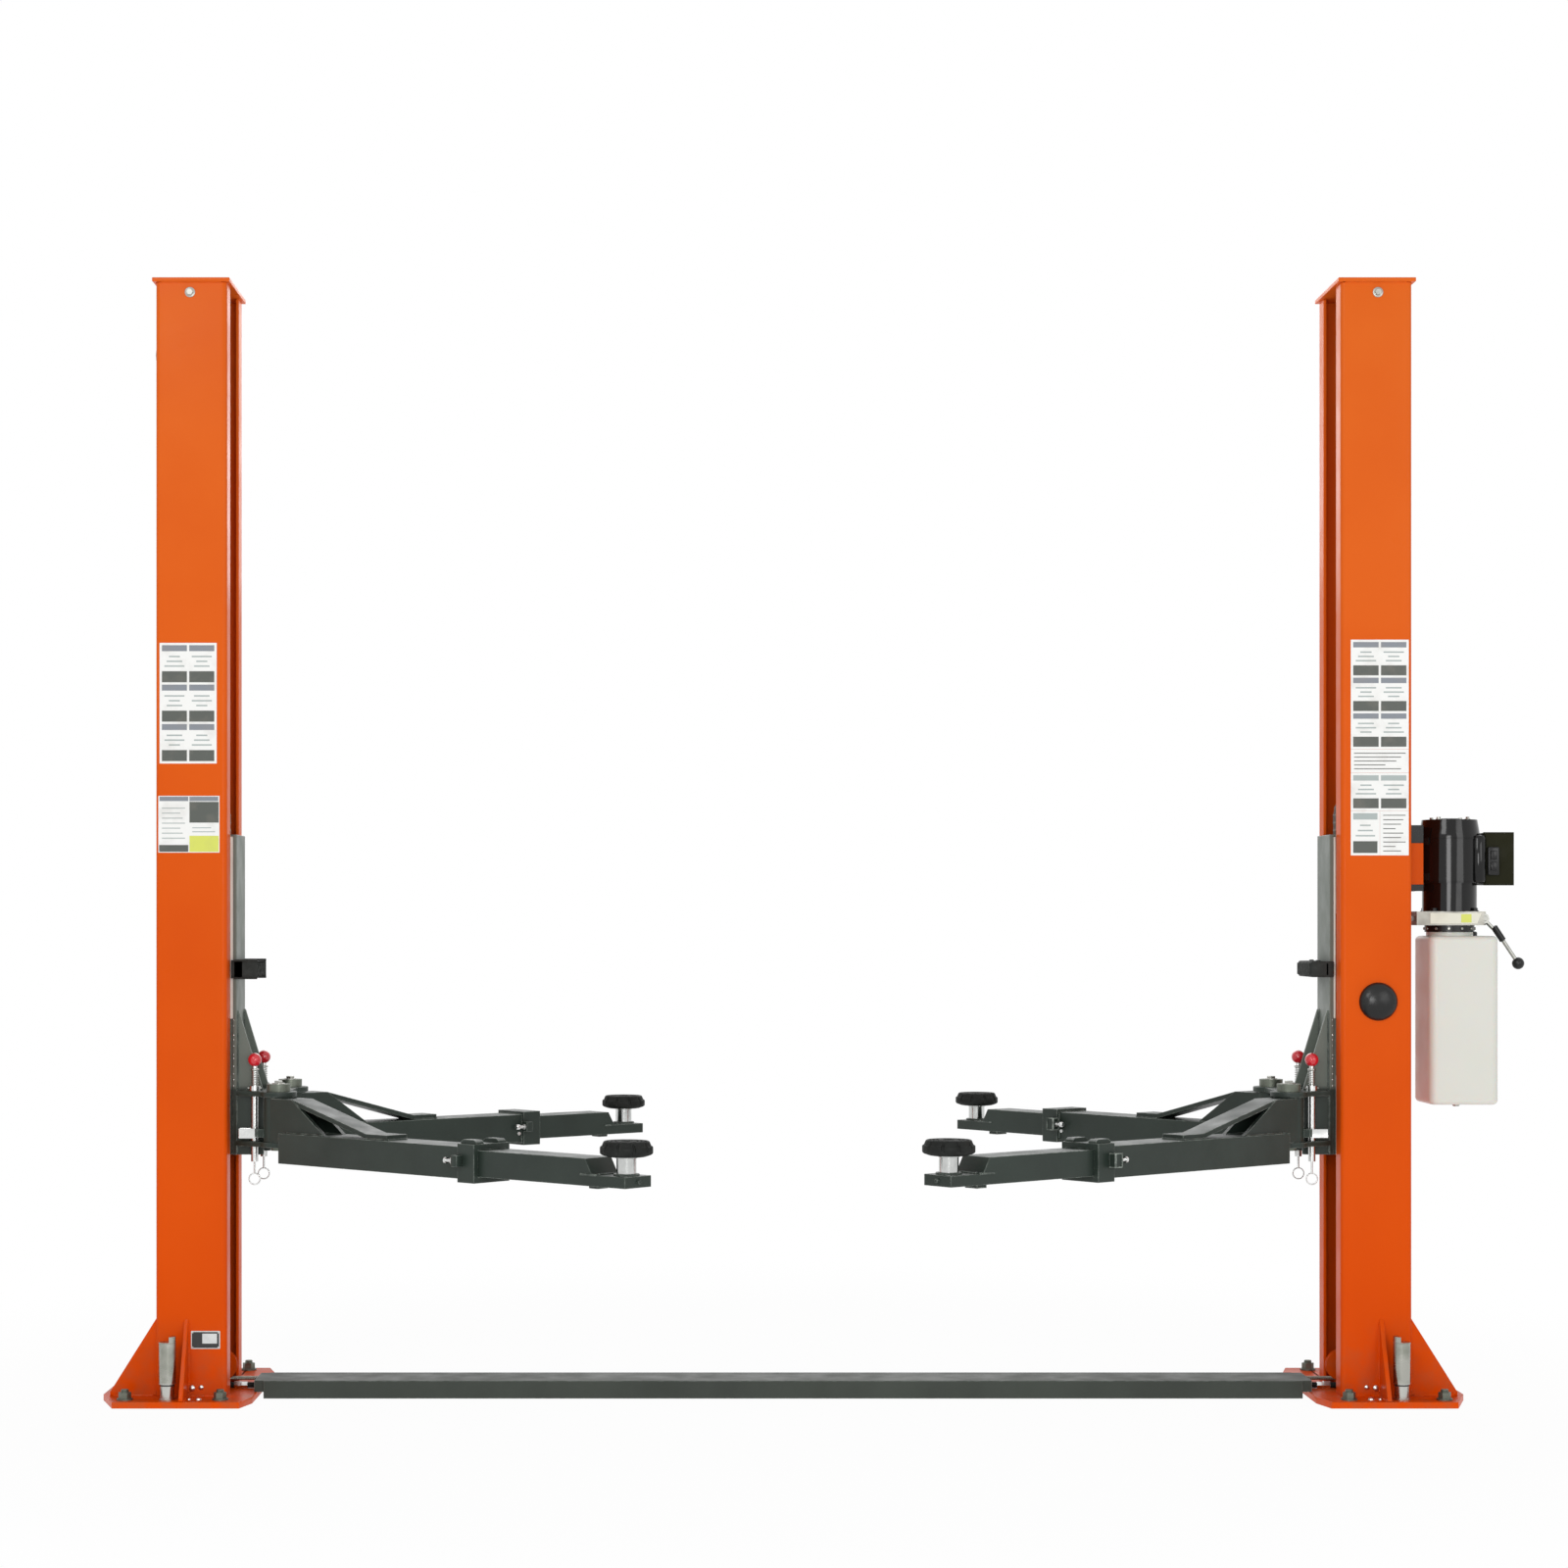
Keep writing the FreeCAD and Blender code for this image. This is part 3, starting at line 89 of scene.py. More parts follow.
# The lamps: name, energy, size, place. All of them aim at one point.
LAMPS = (
    ("key", 112, 2.6, (-3.2, -6.5, 5.0)),
    ("fill", 72, 3.0, (4.5, -6.0, 2.6)),
    ("front", 58, 1.6, (0.0, -5.6, 1.5)),
    ("back", 90, 4.0, (0.0, 5.5, 4.5)),
)
LAMPS_AIM = Vector((0, 0, 1.2))
WORLD_LEVEL = 0.48
STAGE_WHITE = (1, 1, 1, 1)
FLOOR_SIZE = 60
FLOOR_GREY = 0.80
SHADOW_LEAVES = 0.96
SHADOW_NEAR, SHADOW_FAR = 1.6, 3.2
CAMERA_PLACE = (-0.255, -7.735, 1.21)

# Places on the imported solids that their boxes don't give
CAP_BOLT_X, CAP_SCREW = 1.487, (1.482, 0.07)
CAP_BOLT_DROP = 0.026
RIB_FACES = (1.4905, 1.5015)
RIB_REACH, FOOT_RISE = 0.085, 0.185
ANCHOR_INNER_X, ANCHOR_WASHER, STUD_FOOT = 1.403, 0.020, 0.0352
ADAPTER_X, ADAPTER_Y = 1.535, 0.186
CARRIAGE_FACE, CARRIAGE_EDGE, SPOTS_X = 1.379, 0.0743, 1.3865
SHELF_TOP, SHELF_LOW = 0.778, 0.639
PIVOT_X, PIVOT_Y = 1.268, 0.115
ARM_TOP, ARM_HALF = 0.678, 0.050
COLLAR, COLLAR_TOP = (0.713, 0.769), 0.6855
TUBE_TOP = 0.6355
SHEET_THICK = 0.0007
LABEL_INK = 0.0022


# Materials, by name
materials = {}


def add_node(tree, kind, inputs=(), output=0, **settings):
    """One output of a new shader node, whose inputs are set or linked."""
    made = tree.nodes.new(kind)
    for key, value in settings.items():
        setattr(made, key, value)
    for key, value in dict(inputs).items():
        if isinstance(value, bpy.types.NodeSocket):
            tree.links.new(value, made.inputs[key])
        else:
            made.inputs[key].default_value = value
    return made.outputs[output]


class Surface:
    """A node material. Its textures read the object's own coordinates."""

    def __init__(self, name, colour, rough=0.5, metal=0.0, **sockets):
        self.material = materials[name] = bpy.data.materials.new(name)
        self.material.use_nodes = True
        self.tree = self.material.node_tree
        self.shader = self.tree.nodes["Principled BSDF"]
        sockets |= {"Base_Color": (*colour, 1), "Roughness": rough, "Metallic": metal}
        for socket, value in sockets.items():
            self.shader.inputs[socket.replace("_", " ")].default_value = value
        self.place = self.node("ShaderNodeTexCoord", output="Object")

    def node(self, kind, inputs=(), output=0, **settings):
        return add_node(self.tree, kind, inputs, output, **settings)

    def stretch(self, x, y, z):
        return self.node("ShaderNodeMapping", {"Vector": self.place, "Scale": (x, y, z)})

    def noise(self, scale, detail, vector=None):
        inputs = {"Vector": vector or self.place, "Scale": scale, "Detail": detail}
        return self.node("ShaderNodeTexNoise", inputs)

    def spread(self, value, low, high, to_low, to_high):
        """The value between low and high, carried over to another range."""
        return self.node("ShaderNodeMapRange", {
            "Value": value, "From Min": low, "From Max": high, "To Min": to_low, "To Max": to_high})

    def patches(self, scale, detail, low, high, to_low, to_high):
        """Noise between low and high, carried over to another range."""
        return self.spread(self.noise(scale, detail), low, high, to_low, to_high)

    def height(self):
        return self.node("ShaderNodeSeparateXYZ", {"Vector": self.place}, "Z")

    def blend(self, amount, first, second):
        """A mix of two colours, each a tuple or a socket."""
        first, second = ((*colour, 1) if isinstance(colour, tuple) else colour for colour in (first, second))
        inputs = {"Factor": amount, 6: first, 7: second}
        return self.node("ShaderNodeMix", inputs, 2, data_type="RGBA")

    def edges(self, radius):
        """How near a point is to a sharp edge: 1 on a sharp edge, 0 on a flat. It masks worn edges, and on the
        paints also painted edge highlights.
        """
        reach = 0.16
        soft = self.node("ShaderNodeBevel", {"Radius": radius}, samples=4)
        flat = self.node("ShaderNodeNewGeometry", output="Normal")
        dot = self.node("ShaderNodeVectorMath", {0: soft, 1: flat}, "Value", operation="DOT_PRODUCT")
        return self.spread(dot, 1.0, 1.0 - reach, 0.0, 1.0)

    def product(self, first, second):
        return self.node("ShaderNodeMath", {0: first, 1: second}, operation="MULTIPLY")

    def set(self, socket, source):
        self.tree.links.new(source, self.shader.inputs[socket])

    def paint(self, amount, first, second):
        self.set("Base Color", self.blend(amount, first, second))

    def uneven_sheen(self, scale, detail, low, high):
        self.set("Roughness", self.patches(scale, detail, 0.3, 0.7, low, high))

    def bump(self, *layers):
        """Layers of (height, strength, depth), one on top of the other."""
        normal = None
        for height, strength, depth in layers:
            inputs = {"Height": height, "Strength": strength, "Distance": depth}
            if normal is not None:
                inputs["Normal"] = normal
            normal = self.node("ShaderNodeBump", inputs)
        self.set("Normal", normal)


def orange_paint():
    """Gloss coat with orange peel, dust low down, painted light that makes it lighter towards the top, and rubbed
    edges that are partly painted highlights.
    """
    s = Surface("orange_paint", ORANGE_LOW, 0.34, Coat_Weight=0.10, Coat_Roughness=0.14, Coat_IOR=1.35,
                Specular_IOR_Level=0.12, IOR=1.25)
    # Painted light: the orange turns lighter with height, as if lit more from above.
    painted_light_rise = s.spread(s.height(), 0.1, 2.7, 0.0, 1.0)
    body = s.blend(painted_light_rise, ORANGE_LOW, ORANGE_PAINTED_LIGHT_TOP)
    clouds = s.patches(2.2, 4, 0.35, 0.7, 0.0, 0.28)
    body = s.blend(clouds, body, ORANGE_DEEP)
    dust = s.product(s.spread(s.height(), 0.22, 0.0, 0.0, 0.5), s.patches(26, 5, 0.4, 0.7, 0.0, 1.0))
    body = s.blend(dust, body, DUST)
    # Lighter rubbed edges: partly wear, partly a painted edge highlight.
    edge_mark = s.product(s.edges(0.0022), s.patches(38, 4, 0.42, 0.62, 0.0, 0.35))
    s.paint(edge_mark, body, WORN_AND_HIGHLIGHT_ORANGE)
    s.uneven_sheen(9, 5, 0.27, 0.42)
    s.bump((s.noise(420, 2), 0.10, 0.0004), (s.noise(7, 2), 0.12, 0.002))


def dark_paint(name, colour=GREEN_GREY, rough=0.42, painted_light_above=None):
    """Textured green-grey coat that shows fine scratches and pale rubbed edges, partly wear and partly painted
    edge highlights. An optional lighter colour above a set height is painted light on the upper part.
    """
    s = Surface(name, colour, rough, Coat_Weight=0.03, Coat_Roughness=0.3, Specular_IOR_Level=0.3)
    lighter = tuple(1.35 * part for part in colour)
    body = s.blend(s.patches(5, 5, 0.35, 0.7, 0.0, 1.0), colour, lighter)
    if painted_light_above:
        # Painted light: above this height the coat is painted lighter, as if lit.
        body = s.blend(s.spread(s.height(), 0.779, 0.790, 0.0, 1.0), body, painted_light_above)
    fleck = s.patches(600, 2, 0.62, 0.72, 0.0, 0.25)
    body = s.blend(fleck, body, GREEN_GREY_WORN)
    # Pale rubbed edges: partly wear, partly a painted edge highlight.
    edge_mark = s.product(s.edges(0.0024), s.patches(55, 4, 0.40, 0.60, 0.25, 0.95))
    scratch = s.spread(s.noise(30, 6, s.stretch(1, 1, 14)), 0.70, 0.76, 0.0, 0.35)
    body = s.blend(scratch, body, GREEN_GREY_WORN)
    s.paint(edge_mark, body, WORN_AND_HIGHLIGHT_GREEN)
    s.uneven_sheen(14, 5, rough - 0.08, rough + 0.12)
    s.bump((s.noise(520, 3), 0.22, 0.0005), (s.noise(12, 2), 0.10, 0.002))


def plain_metal(name, colour, rough, grain=(6, 6, 240), depth=0.15, metal=1.0):
    """Bare or plated metal with drawn grain, uneven sheen and a few darker spots."""
    s = Surface(name, colour, rough, metal)
    darker = tuple(0.72 * part for part in colour)
    spots = s.patches(40, 5, 0.45, 0.75, 0.0, 0.6)
    s.paint(spots, colour, darker)
    s.uneven_sheen(22, 5, rough * 0.75, rough * 1.45)
    s.bump((s.noise(3, 4, s.stretch(*grain)), depth, 0.0004))


def adapter_steel():
    """Turned steel with a cloudy sheen and fine rings, brighter at its foot."""
    s = Surface("adapter_steel", (0.30, 0.30, 0.28), 0.24, 1.0)
    body = s.blend(s.patches(26, 4, 0.4, 0.7, 0.0, 1.0), (0.40, 0.40, 0.36), (0.26, 0.27, 0.23))
    foot = s.spread(s.height(), 0.057, 0.059, 0.6, 0.0)
    s.paint(foot, body, (0.62, 0.62, 0.59))
    s.uneven_sheen(22, 5, 0.18, 0.34)
    s.bump((s.noise(2, 3, s.stretch(2, 2, 400)), 0.2, 0.0003))


def cable_steel():
    """Wire rope: strands laid at a slant, darker between them."""
    s = Surface("steel_cable", (0.52, 0.50, 0.42), 0.45, 0.85)
    lay = s.node("ShaderNodeTexWave", {"Vector": s.stretch(180, 180, 90), "Scale": 0.8, "Distortion": 0.6},
                 "Fac", wave_type="BANDS", bands_direction="DIAGONAL")
    s.paint(lay, (0.13, 0.12, 0.10), (0.62, 0.60, 0.52))
    s.bump((lay, 0.9, 0.0015), (s.noise(300, 2), 0.2, 0.0003))


def rubber(name, grain, depth, colour=(0.008, 0.009, 0.008)):
    """Moulded black rubber with a fine grain, a grey bloom and scuffed edges."""
    s = Surface(name, colour, 0.68, Specular_IOR_Level=0.2)
    bloom = s.patches(30, 5, 0.4, 0.7, 0.0, 0.5)
    body = s.blend(bloom, colour, (0.020, 0.022, 0.020))
    edge_mark = s.product(s.edges(0.0012), s.patches(90, 3, 0.4, 0.65, 0.0, 0.6))
    s.paint(edge_mark, body, (0.11, 0.11, 0.105))
    s.uneven_sheen(60, 4, 0.55, 0.82)
    s.bump((s.noise(grain, 2), depth, 0.0006))


def moulded(name, colour, rough, grain=500, depth=0.08, **sockets):
    """Moulded plastic with slight cloudiness and a fine surface."""
    s = Surface(name, colour, rough, **sockets)
    darker = tuple(0.86 * part for part in colour)
    s.paint(s.patches(12, 4, 0.35, 0.7, 0.0, 1.0), colour, darker)
    s.uneven_sheen(35, 4, rough * 0.8, rough * 1.3)
    s.bump((s.noise(grain, 2), depth, 0.0003), (s.noise(16, 2), 0.05, 0.001))


def tank_plastic():
    """Milky moulded tank, evenly pale, with a slightly clouded skin."""
    s = Surface("tank_plastic", TANK_WHITE, 0.40, Subsurface_Weight=0.2, Subsurface_Scale=0.02,
                Coat_Weight=0.08)
    s.paint(s.patches(9, 5, 0.4, 0.7, 0.0, 0.18), TANK_WHITE, (0.62, 0.62, 0.55))
    s.uneven_sheen(20, 4, 0.34, 0.50)
    s.bump((s.noise(260, 2), 0.06, 0.0004), (s.noise(8, 2), 0.08, 0.002))


def printed(name, colour):
    """Coated label stock, a little dirty at random."""
    s = Surface(name, colour, 0.38, Coat_Weight=0.2)
    dirt = s.patches(24, 6, 0.5, 0.8, 0.0, 0.25)
    s.paint(dirt, colour, (0.28, 0.24, 0.19))
    s.bump((s.noise(60, 3), 0.05, 0.0003))


def make_materials():
    orange_paint()
    dark_paint("dark_paint")
    # The carriages' copy of the dark paint, with painted light on its upper part.
    dark_paint("carriage_paint_lit_top", painted_light_above=CARRIAGE_PAINTED_LIGHT)
    dark_paint("cover_paint", COVER_GREY, 0.5)
    dark_paint("black_paint", (0.02, 0.021, 0.02), 0.4)
    plain_metal("zinc", ZINC, 0.34)
    plain_metal("bright_steel", BRIGHT_STEEL, 0.25, depth=0.05)
    plain_metal("anchor_steel", ANCHOR_GREY, 0.42, (60, 60, 60), 0.2, 0.85)
    plain_metal("chrome", CHROME, 0.13, depth=0.05)
    plain_metal("chain_steel", (0.13, 0.115, 0.09), 0.32, (90, 90, 90), 0.2)
    plain_metal("cast_aluminium", CAST, 0.46, (60, 60, 60), 0.5)
    adapter_steel()
    cable_steel()
    moulded("motor_paint", (0.003,) * 3, 0.11, 300, 0.02, Specular_IOR_Level=0.35)
    moulded("black_plastic", (0.008,) * 3, 0.28, Specular_IOR_Level=0.35)
    moulded("box_plastic", (0.014, 0.014, 0.005), 0.45, 700, 0.2, Specular_IOR_Level=0.08)
    moulded("slide_plastic", (0.76, 0.75, 0.68), 0.45, Subsurface_Weight=0.1)
    moulded("red_plastic", RED, 0.22, Coat_Weight=0.6, Subsurface_Weight=0.05)
    moulded("lever_metal", (0.02,) * 3, 0.34)
    tank_plastic()
    rubber("hose_rubber", 700, 0.2)
    rubber("bumper_rubber", 260, 0.8, (0.024, 0.026, 0.024))
    rubber("pad_rubber", 420, 0.4)
    for ink, colour in INKS.items():
        printed("print_" + ink, colour)


# Shapes


def add_object(name, data, place=(0, 0, 0)):
    made = bpy.data.objects.new(name, data)
    made.location = place
    bpy.context.scene.collection.objects.link(made)
    return made


def polar(angle, radius=1.0, height=0.0):
    return Vector((radius * cos(angle), radius * sin(angle), height))


class Pile:
    """Collects small shapes into one mesh. Each is placed through the pile's own matrix."""

    def __init__(self, matrix=None):
        self.mesh = bmesh.new()
        self.matrix = matrix or Matrix()

    def _turned_to(self, at, axis):
        turn = Vector(axis).to_track_quat("Z", "Y").to_matrix().to_4x4()
        return self.matrix @ Matrix.Translation(at) @ turn

    def lathe(self, profile, at, axis, sides, spin=0.0, wave=None):
        """Turns (radius, height) points about an axis. `wave` may change a radius by (angle, index)."""
        matrix = self._turned_to(at, axis)
        rings = []
        for index, (radius, height) in enumerate(profile):
            if radius <= 0:
                rings.append([self.mesh.verts.new(matrix @ Vector((0, 0, height)))])
                continue
            ring = []
            for side in range(sides):
                angle = spin + 2 * pi * side / sides
                r = radius + (wave(angle, index) if wave else 0)
                ring.append(self.mesh.verts.new(matrix @ polar(angle, r, height)))
            rings.append(ring)
        self._skin(rings)

    def _skin(self, rings):
        """Faces between the rings, and one over each end that isn't a point."""
        for low, high in zip(rings, rings[1:]):
            self._bridge(low, high)
        for ring in (rings[0][::-1], rings[-1]):
            if len(ring) > 1:
                self.mesh.faces.new(ring)

    def _bridge(self, low, high):
        count = max(len(low), len(high))
        for side in range(count):
            after = (side + 1) % count
            if len(low) == 1:
                self.mesh.faces.new((low[0], high[after], high[side])[::-1])
            elif len(high) == 1:
                self.mesh.faces.new((low[side], low[after], high[0]))
            else:
                self.mesh.faces.new((low[side], low[after], high[after], high[side]))

    def box(self, first, second, bevel=0.0, segments=2):
        """A box between two opposite corners, in any order."""
        made = bmesh.ops.create_cube(self.mesh, size=1.0)["verts"]
        low, high = zip(*(sorted(pair) for pair in zip(first, second)))
        for vert in made:
            spot = Vector([low[i] + (vert.co[i] + 0.5) * (high[i] - low[i]) for i in range(3)])
            vert.co = self.matrix @ spot
        if bevel:
            edges = list({edge for vert in made for edge in vert.link_edges})
            bmesh.ops.bevel(self.mesh, geom=edges, offset=bevel, segments=segments, profile=0.5,
                            affect="EDGES")

    def slab(self, points, at, axis, depth, up):
        """A flat outline in the plane across an axis, `depth` thick, with its second value along `up`."""
        rows = Matrix((up.cross(axis).normalized(), up, axis)).transposed().to_4x4()
        matrix = self.matrix @ Matrix.Translation(at) @ rows
        self._skin([[self.mesh.verts.new(matrix @ Vector((a, b, height))) for a, b in points]
                    for height in (0, depth)])

    def bead(self, start, end, radius):
        """A weld bead: a half-sunk string of ripples from start to end."""
        ripple = 0.005
        start = Vector(start)
        run = Vector(end) - start
        steps = max(3, int(run.length / ripple) * 2)
        profile = [(0, 0)]
        for step in range(1, steps):
            swell = 1.0 if step % 2 else 0.80
            profile.append((radius * swell * random.uniform(0.92, 1.06), run.length * step / steps))
        self.lathe(profile + [(0, run.length)], start, run.normalized(), 7)

    def bolt(self, at, axis, across, high, washer=True, spin=0.0):
        """A hexagon head with its washer, seated at a point on a face."""
        if washer:
            self.lathe([(across * 0.80, -0.0005), (across * 0.80, 0.0016), (across * 0.74, 0.0022),
                        (0, 0.0022)], at, axis, 28)
        low = 0.002 if washer else -0.0005
        r, top = across / sqrt(3), low + high
        self.lathe([(r, low), (r, low + high * 0.86), (r * 0.86, top), (0, top)], at, axis, 6, spin)

    def screw(self, at, axis, radius, high):
        """A round socket head."""
        inner = radius * 0.45
        self.lathe([(radius, -0.0004), (radius, high * 0.6), (radius * 0.8, high), (inner, high),
                    (inner, high * 0.3), (0, high * 0.3)], at, axis, 20)

    def pipe(self, points, radius, sides, smooth):
        """A round bar along a smooth line through the points."""
        line = smooth_line([Vector(p) for p in points], smooth)
        rings = []
        across = None
        for index, spot in enumerate(line):
            ahead = line[min(index + 1, len(line) - 1)] - line[max(index - 1, 0)]
            ahead.normalize()
            if across is None:
                across = ahead.orthogonal().normalized()
            across = (across - ahead * across.dot(ahead)).normalized()
            other = ahead.cross(across)
            rings.append([self.mesh.verts.new(self.matrix @ (
                spot + radius * (cos(a) * across + sin(a) * other)))
                for a in (2 * pi * s / sides for s in range(sides))])
        self._skin(rings)

    def finish(self, name, material, body="columns", slot=None, replaces=(), angle=35):
        """Makes the object, gives it its material and lets it ride on its body."""
        bmesh.ops.recalc_face_normals(self.mesh, faces=self.mesh.faces)
        mesh = bpy.data.meshes.new(name)
        self.mesh.to_mesh(mesh)
        self.mesh.free()
        piece = add_object(name, mesh)
        mesh.materials.append(materials[material])
        shade(mesh, angle)
        if replaces:
            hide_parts(*replaces)
        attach(piece, body)


def smooth_line(points, steps):
    """Catmull-Rom points through the given ones."""
    if len(points) < 3:
        return points
    line = []
    padded = [2 * points[0] - points[1]] + points + [2 * points[-1] - points[-2]]
    for a, b, c, d in zip(padded, padded[1:], padded[2:], padded[3:]):
        for step in range(steps):
            t = step / steps
            line.append(0.5 * (2 * b + (c - a) * t + (2 * a - 5 * b + 4 * c - d) * t ** 2
                               + (3 * b - a - 3 * c + d) * t ** 3))
    return line + [points[-1]]


def shade(mesh, angle):
    """Smooth faces, with a sharp line wherever two of them meet at more than the angle."""
    flat = bmesh.new()
    flat.from_mesh(mesh)
    limit = radians(angle)
    for face in flat.faces:
        face.smooth = True
    for edge in flat.edges:
        edge.smooth = len(edge.link_faces) == 2 and edge.calc_face_angle(0.0) < limit
    flat.to_mesh(mesh)
    flat.free()


def round_edges(node, width):
    """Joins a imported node's faces and rounds its edges for the light to catch."""
    node.modifiers.new("weld", "WELD").merge_threshold = 0.02 * MM
    bevel = node.modifiers.new("edge", "BEVEL")
    bevel.width = width
    bevel.segments = 2
    bevel.limit_method = "ANGLE"
    bevel.angle_limit = radians(40)
    bevel.use_clamp_overlap = True
    node.modifiers.new("normals", "WEIGHTED_NORMAL").keep_sharp = False


def box_of(name):
    """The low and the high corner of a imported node's box."""
    return [Vector(corner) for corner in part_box(name)]


def mid(name):
    low, high = box_of(name)
    return (low + high) / 2


def arm_matrix(arm):
    """The frame of one arm: its pivot at the origin and the arm along +X."""
    along = Vector(JOINTS[f"{arm}_reach"]["axis"])
    pivot = Vector(JOINTS[f"{arm}_swing"]["pos_m"])
    turn = Matrix.Rotation(atan2(along.y, along.x), 4, "Z")
    return Matrix.Translation((pivot.x, pivot.y, 0)) @ turn


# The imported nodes


def dress_nodes():
    """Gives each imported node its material, by its slot or its own, and rounds the edges of some."""
    slots = {entry["node"]: entry["material_slot"] for entry in frame["record"]["subparts"]}
    rounded = {"orange_paint": 1.6, "dark_paint": 1.5, "black_paint": 1.5, "motor_paint": 2.5, "zinc": 0.8,
               "chrome": 1.0, "cast_aluminium": 2.5, "box_plastic": 4.0, "slide_plastic": 1.0,
               "black_plastic": 1.5}
    special = {"floor_cover": "cover_paint", "anchor_bolts": "anchor_steel",
               "height_adapters": "adapter_steel", "base_sheaves": "orange_paint", "release_lever": "zinc"}
    special.update({f"{arm}_lock_pin": "bright_steel" for arm in ARMS})
    special.update({f"{hand}_carriage": "carriage_paint_lit_top" for hand in HANDS})
    special.update({f"{hand}_pivot_pins": "anchor_steel" for hand in HANDS})
    for name, slot in slots.items():
        node = frame["nodes"][name]
        node.data.materials.clear()
        node.data.materials.append(materials[special.get(name, slot)])
        if slot in rounded:
            round_edges(node, rounded[slot] * MM)


# Columns


def front_face():
    return box_of("left_column")[0].y


def make_column_fasteners():
    """Cap bolts, the small flange bolts and the bolts of the sheave axles."""
    steel = Pile()
    far = box_of("right_column")[1]
    axle = mid("top_sheaves")
    cap_top = far.z + 0.010
    for side in BOTH:
        for end in BOTH:
            steel.bolt((side * CAP_BOLT_X, end * far.y, far.z - CAP_BOLT_DROP), (0, end, 0), 0.016, 0.007)
            steel.screw((side * CAP_SCREW[0], end * CAP_SCREW[1], cap_top), Z, 0.008, 0.004)
        steel.bolt((side * far.x, axle.y, axle.z), (side, 0, 0), 0.030, 0.014)
    steel.finish("column_bolts", "zinc")


def make_column_welds():
    """Beads round the columns' feet, the gussets and the cap plates."""
    random.seed(7)
    beads = Pile()
    base = box_of("base_plates")[1].z
    low, high = box_of("right_column")
    inset = 0.012
    inner, outer, half, top = low.x + inset, high.x, high.y, high.z
    foot, rise = base + 0.01, base + FOOT_RISE
    for side in BOTH:
        for end in BOTH:
            y = end * half
            for z, radius in ((base, 0.0045), (top, 0.003)):
                beads.bead((side * inner, y, z), (side * (outer - inset), y, z), radius)
            for x in RIB_FACES:
                beads.bead((side * x, y, foot), (side * x, y, rise), 0.0035)
                beads.bead((side * x, y + end * 0.006, base), (side * x, y + end * RIB_REACH, base), 0.004)
            for gusset_face in (half - 0.012, half - 0.020):
                edge = end * gusset_face
                beads.bead((side * outer, edge, foot), (side * outer, edge, rise), 0.003)
                beads.bead((side * (outer + 0.006), edge, base), (side * (outer + 0.11), edge, base), 0.004)
        beads.bead((side * outer, inset - half, top), (side * outer, half - inset, top), 0.003)
    beads.finish("column_welds", "orange_paint")


def make_foot_spots():
    """Bright domes beside the front ribs' feet, on the columns and on the base plates: painted glints."""
    spots = Pile()
    base, face = box_of("base_plates")[1].z, front_face()
    for side in BOTH:
        for x, y, z, size, axis in ((1.4820, 0, 0.020, 0.0085, -Y), (1.4590, 0, 0.022, 0.0065, -Y),
                                    (1.4820, 0.050, 0, 0.0060, Z), (1.4580, 0.052, 0, 0.0085, Z)):
            dome = [(size, -0.0004), (size * 0.9, size * 0.30), (size * 0.5, size * 0.62), (0, size * 0.7)]
            spots.lathe(dome, (side * x, face - y, base + z), axis, 18)
    spots.finish("foot_glints", "bright_steel", slot="zinc")


def make_anchor_threads():
    """Threads on the studs of the anchors."""
    threads = Pile()
    low, high = box_of("anchor_bolts")
    pitch = 0.0012
    root, crest, tip = 0.0092, 0.0099, 0.0082
    steps = int((high.z - STUD_FOOT) / pitch)
    profile = [(root if step % 2 else crest, STUD_FOOT + step * pitch) for step in range(steps + 1)]
    profile[-1] = (tip, profile[-1][1])
    for side in BOTH:
        for x in (high.x - ANCHOR_WASHER, ANCHOR_INNER_X):
            for y in (low.y + ANCHOR_WASHER, high.y - ANCHOR_WASHER):
                threads.lathe(profile, (side * x, y, 0), Z, 18)
    threads.finish("anchor_threads", "anchor_steel", slot="zinc")


def make_adapter_details():
    """Bright collars on the stacking adapters, and near-black rings in their grooves as painted shade."""
    bright, dark = Pile(), Pile()
    for at in [(x, y, 0) for x in (-ADAPTER_X, ADAPTER_X) for y in (-ADAPTER_Y, ADAPTER_Y)]:
        bright.lathe([(0.0205, 0.0155), (0.0205, 0.019), (0.0178, 0.020)], at, Z, 40)
        for height, radius in ((0.0560, 0.0216), (0.1570, 0.0218)):
            inner = radius - 0.001
            bright.lathe([(inner, height - 0.0012), (radius, height - 0.0006), (radius, height + 0.0006),
                          (inner, height + 0.0012)], at, Z, 40)
        # A near-black ring in the groove: painted shade.
        dark.lathe([(0.0176, 0.0500), (0.0184, 0.0505), (0.0184, 0.0535), (0.0176, 0.0540)], at, Z, 40)
    bright.finish("adapter_collars", "adapter_steel", slot="chrome")
    dark.finish("adapter_groove_shade", "lever_metal", slot="chrome")


def make_data_plate():
    """A bare riveted plate low on the left column: a bright rim round a dark field."""
    plate, field, rivets = Pile(), Pile(), Pile()
    y = front_face()
    plate.box((-1.4845, y - 0.0012, 0.1345), (-1.4115, y + 0.0002, 0.1795), 0.0005, 1)
    plate.box((-1.456, y - 0.0022, 0.148), (-1.419, y - 0.0014, 0.173), 0.0002, 1)
    plate.finish("data_plate", "bright_steel", slot="zinc")
    field.box((-1.482, y - 0.0017, 0.137), (-1.414, y - 0.0010, 0.177), 0.0003, 1)
    field.finish("data_plate_field", "lever_metal", slot="zinc")
    for x in (-1.480, -1.416):
        for z in (0.139, 0.175):
            rivets.lathe([(0.0022, -0.0014), (0.0018, 0.0012), (0, 0.0018)], (x, y - 0.001, z), -Y, 14)
    rivets.finish("plate_rivets", "zinc")


